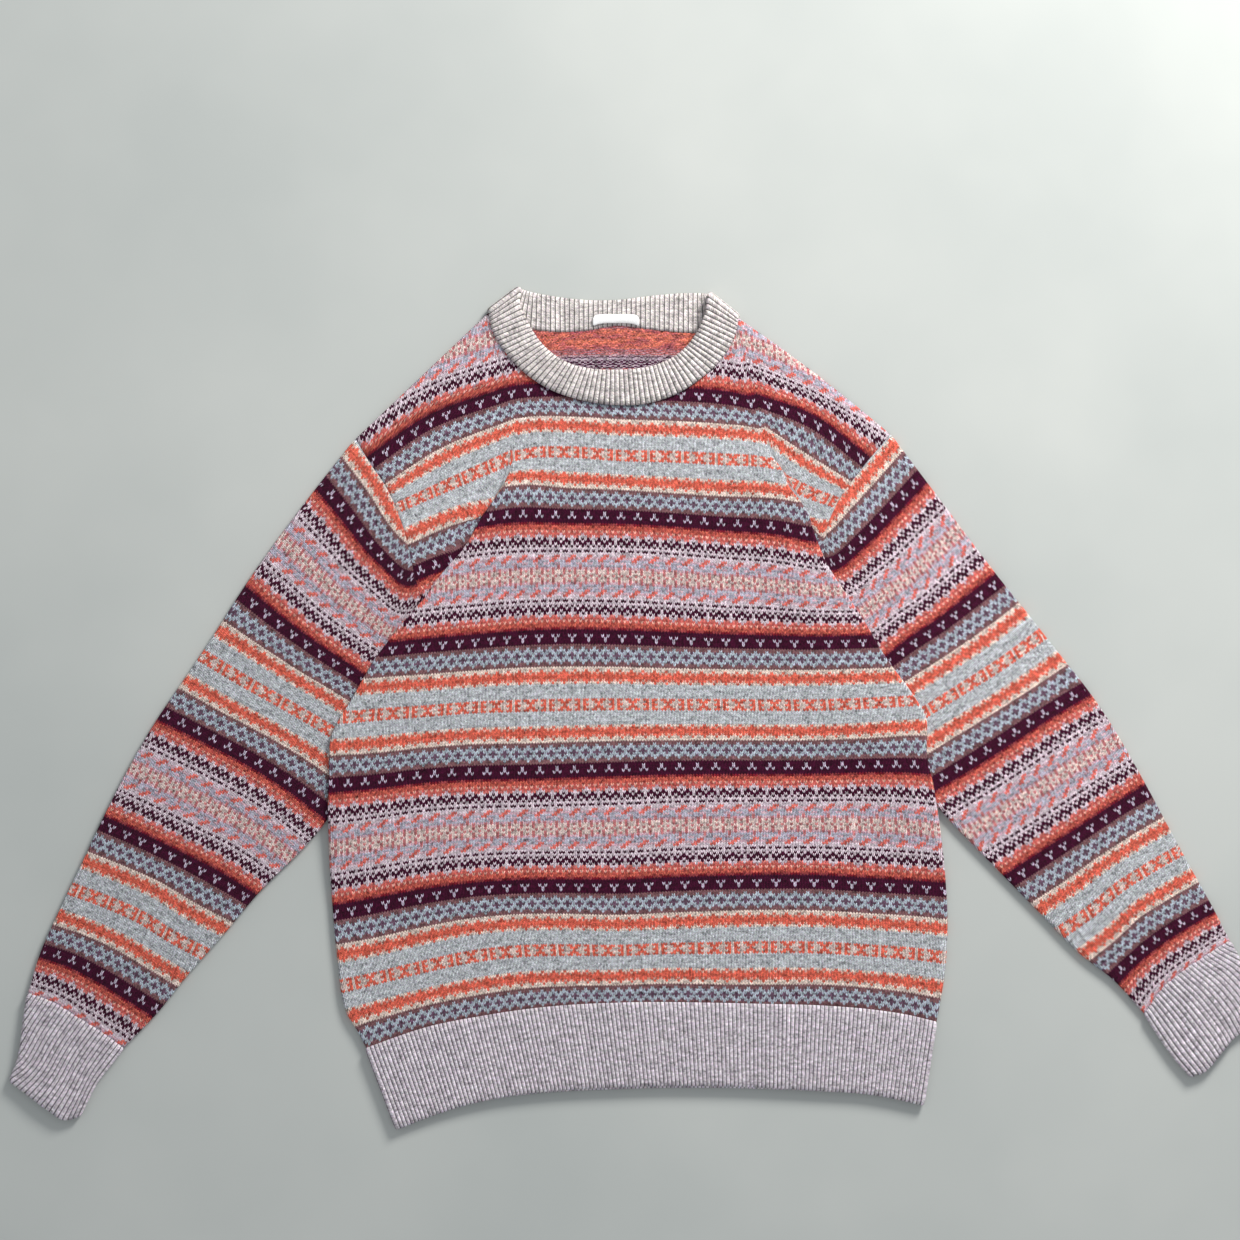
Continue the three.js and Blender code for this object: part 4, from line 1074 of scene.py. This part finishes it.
# Rows of one half repeat, from the middle of the big crosses out: ground, motif, stitches.
# X is the motif yarn; the row starts at stitch 0 and repeats. The other half has the same rows.
CHART = [row.split() for row in """
    oat vermilion X...XX.XX...
    oat vermilion XX...X.X...X
    oat vermilion .XX.XX.XX.XX
    marl marl .
    marl marl .
    marl marl .
    marl marl .
    marl marl .
    marl marl .
    cream vermilion X...
    shell vermilion XX.X.X.X
    vermilion vermilion .
    vermilion vermilion .
    shell vermilion XX.X.X.X
    cream vermilion X...
    cream cream .
    plum plum .
    plum sky ...X
    heather sky X.XX
    heather sky XXX.
    heather sky .X..
    heather sky XXX.
    heather sky X.XX
    plum sky ...X
    plum plum .
    aubergine aubergine .
    aubergine ice ...X..
    aubergine ice ...X..
    aubergine ice ..X.X.
    aubergine aubergine .
    aubergine aubergine .
    russet garnet ..XXX.
    ember brick .X...X
    ember brick X..X..
    coral peach X.X.X.
    coral mauve .......X
    salmon lilac X..X..XX
    lilac aubergine .X...X.X
    lilac aubergine XXX.XXX.
    lilac aubergine X.X.X.XX
    lilac aubergine .X.X.X.X
    lilac lilac .
    lilac aubergine XX.X.XX.
    lilac lilac .
    lilac orange ...XX.
    mauve orange ..XX..
    slate orange .XX...
    slate mauve .XX..XX.
    slate rose ......X.
    mauve rose X...X.X.
    blush rose X.X.X...
    blush rose X...X...
    blush rose ..X..X.X
""".strip().splitlines()]
CHART_ROWS = len(CHART)
REPEAT = 2.0 * (CHART_ROWS - 1)     # knit rows in the whole repeat
WIDTH = 24                          # stitches that every motif fits into a whole number of times
CODE = 4096.0                       # half of them as one number, one bit each


def linear(colour):
    """Linear values of a colour given as 0 to 255."""
    def channel(c):
        return round(((c / 255 + 0.055) / 1.055) ** 2.4 if c > 10 else c / 255 / 12.92, 4)
    return tuple(channel(c) for c in colour)


def dyed(*colour):
    return (*linear(colour), 1)


def step(operation, turned=False):
    """An arithmetic method that adds one Math node; turned puts the other value first."""
    def method(self, *others):
        return self.maths.do(operation, *((*others, self) if turned else (self, *others)))
    return method


class Value:
    """Something that changes over the surface. Arithmetic on it adds nodes to its tree."""

    def __init__(self, maths, socket):
        self.maths, self.socket = maths, socket

    __add__, __radd__ = step("ADD"), step("ADD", True)
    __sub__, __rsub__ = step("SUBTRACT"), step("SUBTRACT", True)
    __mul__, __rmul__ = step("MULTIPLY"), step("MULTIPLY", True)
    __pow__, __rpow__ = step("POWER"), step("POWER", True)
    __truediv__, __mod__ = step("DIVIDE"), step("FLOORED_MODULO")
    __gt__, __lt__ = step("GREATER_THAN"), step("LESS_THAN")
    __abs__, floor, sine = step("ABSOLUTE"), step("FLOOR"), step("SINE")
    at_least = step("MAXIMUM")


class Maths:
    """Short ways to join nodes in one tree."""

    def __init__(self, tree):
        self.tree = tree

    def node(self, kind, *feeds, **settings):
        """A new node with these settings, its first inputs fed in turn."""
        made = self.tree.nodes.new(kind)
        for key, value in settings.items():
            setattr(made, key, value)
        for socket, value in zip(made.inputs, feeds):
            self.feed(socket, value)
        return made

    def feed(self, socket, value):
        if isinstance(value, Value):
            self.tree.links.new(value.socket, socket)
        else:
            socket.default_value = value

    def do(self, operation, *values):
        return Value(self, self.node("ShaderNodeMath", *values, operation=operation).outputs[0])

    def mix(self, share, first, second, blend="MIX"):
        made = self.node("ShaderNodeMix", share, data_type="RGBA", blend_type=blend)
        self.feed(made.inputs[6], first)
        self.feed(made.inputs[7], second)
        return Value(self, made.outputs[2])

    def range(self, value, low, high, to_low, to_high):
        made = self.node("ShaderNodeMapRange", value, low, high, to_low, to_high, clamp=True)
        return Value(self, made.outputs[0])

    def vector(self, x, y, z=0.0):
        return Value(self, self.node("ShaderNodeCombineXYZ", x, y, z).outputs[0])

    def split(self, vector, kind="ShaderNodeSeparateXYZ"):
        """The first two parts of a vector or a colour."""
        return [Value(self, part) for part in self.node(kind, vector).outputs[:2]]

    def noise(self, place, scale, detail=2.0, rough=0.5, give="Fac"):
        made = self.node("ShaderNodeTexNoise", noise_dimensions="3D")
        values = {"Vector": place, "Scale": scale, "Detail": detail, "Roughness": rough}
        for name, value in values.items():
            self.feed(made.inputs[name], value)
        return Value(self, made.outputs[give])

    def steps(self, place, stops):
        """A ramp of plain steps; stops are (place, colour)."""
        made = self.node("ShaderNodeValToRGB", place)
        ramp = made.color_ramp
        ramp.interpolation = "CONSTANT"
        ramp.elements[0].position, ramp.elements[0].color = 0.0, (*stops[0][1], 1)
        ramp.elements.remove(ramp.elements[1])
        for position, colour in stops[1:]:
            ramp.elements.new(position).color = (*colour, 1)
        return Value(self, made.outputs["Color"])

    def place(self, tree, **values):
        """A node group with named values; gives its outputs by name."""
        made = self.node("ShaderNodeGroup", node_tree=tree)
        for name, value in values.items():
            self.feed(made.inputs[name], value)
        return {socket.name: Value(self, socket) for socket in made.outputs}

    def bump(self, height, distance, strength, after=None):
        made = self.node("ShaderNodeBump")
        made.inputs["Distance"].default_value = distance
        made.inputs["Strength"].default_value = strength
        self.feed(made.inputs["Height"], height)
        if after:
            self.feed(made.inputs["Normal"], after)
        return Value(self, made.outputs[0])


def group(name, inputs, outputs):
    """A new node group with named sockets; kinds are Float, Color or Vector."""
    tree = bpy.data.node_groups.new(name, "ShaderNodeTree")
    for direction, rows in (("INPUT", inputs), ("OUTPUT", outputs)):
        for label, kind, *start in rows:
            socket = tree.interface.new_socket(
                name=label, in_out=direction, socket_type="NodeSocket" + kind,
            )
            if start:
                socket.default_value = start[0]
    maths = Maths(tree)
    given = {socket.name: Value(maths, socket) for socket in maths.node("NodeGroupInput").outputs}
    return tree, maths, given, maths.node("NodeGroupOutput").inputs


def half_row(row):
    """Knit row counted from the middle of the nearest big crosses, up or down."""
    return (row + REPEAT / 2) % REPEAT - REPEAT / 2


def chart_ramps(maths, k):
    """Ground colour, motif colour and the two halves of the stitch code for chart row k."""
    place = (k + 0.5) / CHART_ROWS

    def ramp(column, first=0, last=CHART_ROWS):
        stops = []
        for i in range(first, last):
            if not stops or stops[-1][1] != column[i]:
                stops.append((i / CHART_ROWS, column[i]))
        return maths.steps(place, stops)

    def code(stitches):
        row = (stitches * WIDTH)[:WIDTH]
        halves = row[:WIDTH // 2], row[WIDTH // 2:]
        return [sum(1 << i for i, mark in enumerate(half) if mark == "X") / CODE for half in halves]

    grounds, motifs = ([linear(YARNS[row[column]]) for row in CHART] for column in (0, 1))
    codes = [(*code(row[2]), 0) for row in CHART]
    middle = CHART_ROWS // 2            # a ramp holds 32 steps at most
    early, late = ramp(codes, 0, middle), ramp(codes, middle, CHART_ROWS)
    both = maths.mix(place > middle / CHART_ROWS, early, late)
    return ramp(grounds), ramp(motifs), *maths.split(both, "ShaderNodeSeparateColor")


def chart_group():
    """Yarn colour at a stitch column and row of the chart."""
    tree, maths, given, out = group(
        "knit chart", [("Column", "Float"), ("Row", "Float")],
        [("Yarn", "Color"), ("Other yarn", "Color"), ("Motif", "Float")],
    )
    half = half_row(given["Row"])
    # the slanting dashes of rows 44 to 46 lean the same way in both halves
    turn = (abs(half + 45.0) < 1.5) * (4.0 - given["Column"] * 2.0)
    column = ((given["Column"] + turn + 0.5) % WIDTH).floor()
    ground, motif, early, late = chart_ramps(maths, abs(half))
    second = column > 11.5
    code = early * (1.0 - second) + late * second
    bit = 2.0 ** (column - second * 12.0)
    mask = ((code * CODE + 0.5) / bit).floor() % 2.0 > 0.5
    maths.feed(out["Yarn"], maths.mix(mask, ground, motif))
    maths.feed(out["Other yarn"], maths.mix(mask, motif, ground))
    maths.feed(out["Motif"], mask)
    return tree


def stitch_group():
    """Legs of a row of knit stitches: which stitch and row a place belongs to, its relief, and the
    painted shade that darkens the gaps between the legs.
    """
    tree, maths, given, out = group(
        "stitch legs", [("Map", "Vector"), ("Slant", "Float", 0.8), ("Wander", "Float", 0.12)],
        [("Column", "Float"), ("Row", "Float"), ("Leg", "Vector"), ("Relief", "Float"),
         ("Gap", "Float")],
    )
    across, down = maths.split(given["Map"])
    shifted = across + (maths.noise(given["Map"], 0.9) - 0.5) * given["Wander"] + 0.5
    down = down + (maths.noise(maths.vector(down, across, 7.0), 0.9) - 0.5) * given["Wander"]
    column = shifted.floor()
    inside = shifted - column
    lean = ((0.5 - abs(inside - 0.5)) * 2.0 - 0.5) * given["Slant"]
    level = down - lean + 0.5
    row = level.floor()
    legs = abs((inside * (2 * math.pi)).sine()) ** 0.6
    bead = ((level - row) * math.pi).sine() ** 0.5
    relief = legs * (0.45 + bead * 0.55)
    maths.feed(out["Column"], column)
    maths.feed(out["Row"], row)
    maths.feed(out["Leg"], maths.vector(column * 2.0 + (inside > 0.5), row))
    maths.feed(out["Relief"], relief)
    # painted shade: the gap value is 1 in the low hollows between the yarn legs and 0 on their tops
    maths.feed(out["Gap"], maths.range(relief, 0.1, 0.75, 1.0, 0.0))
    return tree


def wool_group():
    """Spun wool: each leg of a stitch in its own tone, clouds of tone over several stitches, painted
    shade in the gaps between the legs, and fine fibres for the bump."""
    tree, maths, given, out = group(
        "spun wool",
        [("Map", "Vector"), ("Leg", "Vector"), ("Colour", "Color"), ("Gap", "Float"),
         ("Fleck", "Float", 0.3), ("Tint", "Float", 0.1), ("Depth", "Float", 0.6)],
        [("Colour", "Color"), ("Fibre", "Float")],
    )
    across, down = maths.split(given["Map"])
    cell = maths.node("ShaderNodeTexWhiteNoise", given["Leg"], noise_dimensions="3D")
    clouds = maths.noise(maths.vector(across * 0.35, down * 0.45), 1.0, 2.0, 0.6)
    marl = maths.noise(maths.vector(across * 1.3, down * 0.9), 1.0, 2.0, 0.7)
    fibre = maths.noise(maths.vector(across * 7.0, down * 4.0), 1.0, 3.0, 0.7)
    dye = maths.noise(maths.vector(across * 0.6, down * 0.5, 9.0), 5.0, give="Color")
    level = (Value(maths, cell.outputs["Value"]) - 0.5) * 0.35
    for noise, share in ((clouds, 1.7), (marl, 2.6), (fibre, 0.7)):
        level = level + (noise - 0.5) * share
    # the random tone lightens and darkens the yarn; the gap value times its depth darkens it further as
    # painted shade
    light = (1.0 + level * given["Fleck"]) * (1.0 - given["Gap"] * given["Depth"])
    turned = maths.node("ShaderNodeHueSaturation")
    maths.feed(turned.inputs["Value"], light.at_least(0.05))
    maths.feed(turned.inputs["Color"], maths.mix(given["Tint"], given["Colour"], dye, "OVERLAY"))
    maths.feed(out["Colour"], Value(maths, turned.outputs[0]))
    maths.feed(out["Fibre"], fibre)
    return tree


CHART_GROUP, STITCH_GROUP, WOOL_GROUP = chart_group(), stitch_group(), wool_group()


def new_material(name):
    material = bpy.data.materials.new(name)
    material.use_nodes = True
    maths = Maths(material.node_tree)
    shader = material.node_tree.nodes["Principled BSDF"]
    shader.inputs["Roughness"].default_value = 0.92
    shader.inputs["Specular IOR Level"].default_value = 0.12
    shader.inputs["Sheen Weight"].default_value = 0.04
    shader.inputs["Sheen Roughness"].default_value = 0.5
    uv = Value(maths, maths.node("ShaderNodeUVMap", uv_map="stitches").outputs[0])
    return material, maths, shader, uv


def spin(maths, shader, relief, high, strength, **values):
    """Feeds spun wool to a shader: its colour, the stitches' relief and the fibres on it."""
    wool = maths.place(WOOL_GROUP, **values)
    maths.feed(shader.inputs["Base Color"], wool["Colour"])
    stitches = maths.bump(relief, high, strength)
    maths.feed(shader.inputs["Normal"], maths.bump(wool["Fibre"], 0.0004, 0.5, stitches))


def knit_right():
    material, maths, shader, uv = new_material("stranded knit, right side")
    stitch = maths.place(STITCH_GROUP, Map=uv)
    chart = maths.place(CHART_GROUP, Column=stitch["Column"], Row=stitch["Row"])
    # painted shade: the gaps between the stitch legs are darkened by up to 80 percent
    spin(maths, shader, stitch["Relief"], 0.0009, 0.8, Map=uv, Leg=stitch["Leg"], Colour=chart["Yarn"],
         Gap=stitch["Gap"], Fleck=0.95, Tint=0.4, Depth=0.8)
    return material


def knit_reverse():
    material, maths, shader, uv = new_material("stranded knit, reverse")
    across, down = maths.split(uv)
    level = down + (maths.noise(uv, 0.7, 3.0, 0.7) - 0.5) * 1.1 + 0.5
    row = level.floor()
    along = level - row
    shifted = across + row * 0.5
    chart = maths.place(CHART_GROUP, Column=(across + 0.5).floor(), Row=row)
    colour = maths.mix(along > 0.52, chart["Yarn"], chart["Other yarn"])
    # in the rows midway between the big crosses the vermilion strand is carried behind
    far = abs(half_row(row))
    patch = maths.noise(maths.vector(across * 0.18, level * 0.35, 3.0), 1.0, 3.0, 0.7)
    strong = maths.mix(maths.range(patch, 0.42, 0.62, 0.0, 1.0), dyed(232, 116, 84), dyed(176, 74, 82))
    strong = maths.mix((far < 46.5) * 0.6, strong, dyed(132, 92, 112))
    strong = maths.mix(far < 42.5, strong, dyed(92, 48, 80))
    carried = maths.range(far, 41.5, 47.0, 0.45, 0.85) * (far > 35.5)
    colour = maths.mix(carried, colour, strong)
    bead = abs((shifted * math.pi).sine())
    strand = abs((along * (2 * math.pi)).sine())
    relief = strand ** 0.6 * (0.6 + bead * 0.4)
    cell = maths.vector((shifted + 0.5).floor(), (level * 2.0).floor())
    # painted shade: the gaps between the strands are darkened more deeply than on the right side,
    # because the reverse shows inside the neck, which lies in shade
    spin(maths, shader, relief, 0.0009, 0.8, Map=uv, Leg=cell, Colour=colour,
         Gap=maths.range(relief, 0.1, 0.7, 1.0, 0.0), Fleck=1.3, Tint=0.4, Depth=0.95)
    return material


def rib_wool(name, colour):
    """Marled wool in a 1x1 rib: knit columns on the ridges, and purl bumps in the valleys, which are
    darkened as painted shade.
    """
    material, maths, shader, uv = new_material(name)
    across, down = maths.split(uv)
    aside = abs((across + 0.5) % 1.0 - 0.5)
    ridge = 1.0 - aside * 2.0
    level = down + aside * 1.6
    bead = (level % 1.0 * math.pi).sine()
    cell = maths.vector((across + 0.5).floor(), level.floor())
    # painted shade: the valleys between the ribs are darkened by up to 95 percent
    spin(maths, shader, bead * ridge, 0.0006, 0.7, Map=uv, Leg=cell, Colour=dyed(*colour),
         Gap=maths.range(ridge, 0.04, 0.36, 1.0, 0.0), Fleck=0.8, Tint=0.3, Depth=0.95)
    return material


def label_tape():
    material, maths, shader, uv = new_material("white woven tape")
    across, down = maths.split(uv)
    warp = (across * (2 * math.pi / 0.35)).sine()
    weft = (down * (2 * math.pi / 0.3)).sine()
    tone = maths.range(maths.noise(uv, 0.6, 3.0), 0.3, 0.7, 0.84, 0.92)
    colour = maths.node("ShaderNodeCombineColor", tone, tone, tone)
    maths.feed(shader.inputs["Base Color"], Value(maths, colour.outputs[0]))
    shader.inputs["Roughness"].default_value = 0.55
    maths.feed(shader.inputs["Normal"], maths.bump(warp * weft, 0.0001, 0.5))
    return material


# ---- the garment ---------------------------------------------------------------------------

knit = [knit_right(), knit_reverse()]
trim = rib_wool("marled grey rib", (208, 200, 198))
hem_trim = rib_wool("marled mauve-grey rib", (203, 194, 202))
TABLE = ["studio_floor"]

# Piece and its area, CAD node, slot, width and length of the flat fabric, what it rests on
PARTS = (
    (make_front(knit), "front", "knit_front", 0.62, 0.72,
     ["back_panel", "sleeve_left_knit", "sleeve_right_knit"]),
    (make_back(knit), "back", "knit_back", 0.56, 0.66, TABLE),
    (make_sleeve("sleeve_left_knit", SLEEVE_LEFT, SLEEVE_COUNT_LEFT, -1, knit),
     "sleeve_left", "knit_sleeve_left", 0.36, 0.62, TABLE),
    (make_sleeve("sleeve_right_knit", SLEEVE_RIGHT, SLEEVE_COUNT_RIGHT, 1, knit),
     "sleeve_right", "knit_sleeve_right", 0.36, 0.62, TABLE),
    (make_cuff("cuff_left_rib", CUFF_LEFT, -1, hem_trim),
     "cuff_left", "rib_cuff_left", 0.20, 0.11, TABLE),
    (make_cuff("cuff_right_rib", CUFF_RIGHT, 1, hem_trim),
     "cuff_right", "rib_cuff_right", 0.20, 0.11, TABLE),
    (make_hem(hem_trim), "hem_rib", "rib_hem", 1.02, 0.09, TABLE),
    (make_collar(trim), "collar", "rib_collar", 0.60, 0.05, ["back_panel"]),
    (make_label(label_tape()), "neck_label", "label", 0.042, 0.014, ["collar_rib_knit"]),
)

for (piece, _), node, slot, *_ in PARTS:
    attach(piece, "root")
    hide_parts(node)


# ---- floor, light, camera ------------------------------------------------------------------

FLOOR_HALF = 3.0
FLOOR_Z = -0.0005

floor_mesh = bpy.data.meshes.new("studio_floor")
floor_mesh.from_pydata(
    [(x * FLOOR_HALF, y * FLOOR_HALF, FLOOR_Z) for x, y in ((-1, -1), (1, -1), (1, 1), (-1, 1))],
    [], [(0, 1, 2, 3)],
)
floor = bpy.data.objects.new("studio_floor", floor_mesh)
bpy.context.scene.collection.objects.link(floor)
plaster = bpy.data.materials.new("pale floor")
plaster.use_nodes = True
maths = Maths(plaster.node_tree)
where = Value(maths, maths.node("ShaderNodeTexCoord").outputs["Object"])
cloud = maths.range(maths.noise(where, 3.0, 4.0), 0.35, 0.65, 0.0, 1.0)
base = plaster.node_tree.nodes["Principled BSDF"]
maths.feed(base.inputs["Base Color"], maths.mix(cloud, (0.44, 0.465, 0.45, 1), (0.50, 0.52, 0.50, 1)))
base.inputs["Roughness"].default_value = 0.95
floor_mesh.materials.append(plaster)

for (piece, area), _, _, width, length, rests_on in PARTS:
    area = min(area, width * length)

world = bpy.data.worlds.new("studio air")
world.use_nodes = True
world.node_tree.nodes["Background"].inputs[0].default_value = (0.93, 0.96, 1.0, 1)
world.node_tree.nodes["Background"].inputs[1].default_value = 0.55
bpy.context.scene.world = world

key = bpy.data.lights.new("soft key", "AREA")
key.shape, key.size, key.energy, key.color = "DISK", 0.7, 61, (1.0, 0.98, 0.95)
lamp = bpy.data.objects.new("soft key", key)
lamp.location = (1.0, 1.65, 1.05)
lamp.rotation_euler = (-lamp.location).to_track_quat("-Z", "Y").to_euler()     # aims at the origin
bpy.context.scene.collection.objects.link(lamp)

camera_data = bpy.data.cameras.new("camera")
camera_data.sensor_width = 36
camera_data.lens = 99.85
camera = bpy.data.objects.new("camera", camera_data)
camera.location = (-0.0090, 0.0769, 3.0)
bpy.context.scene.collection.objects.link(camera)
bpy.context.scene.camera = camera
bpy.context.scene.view_settings.view_transform = "Standard"
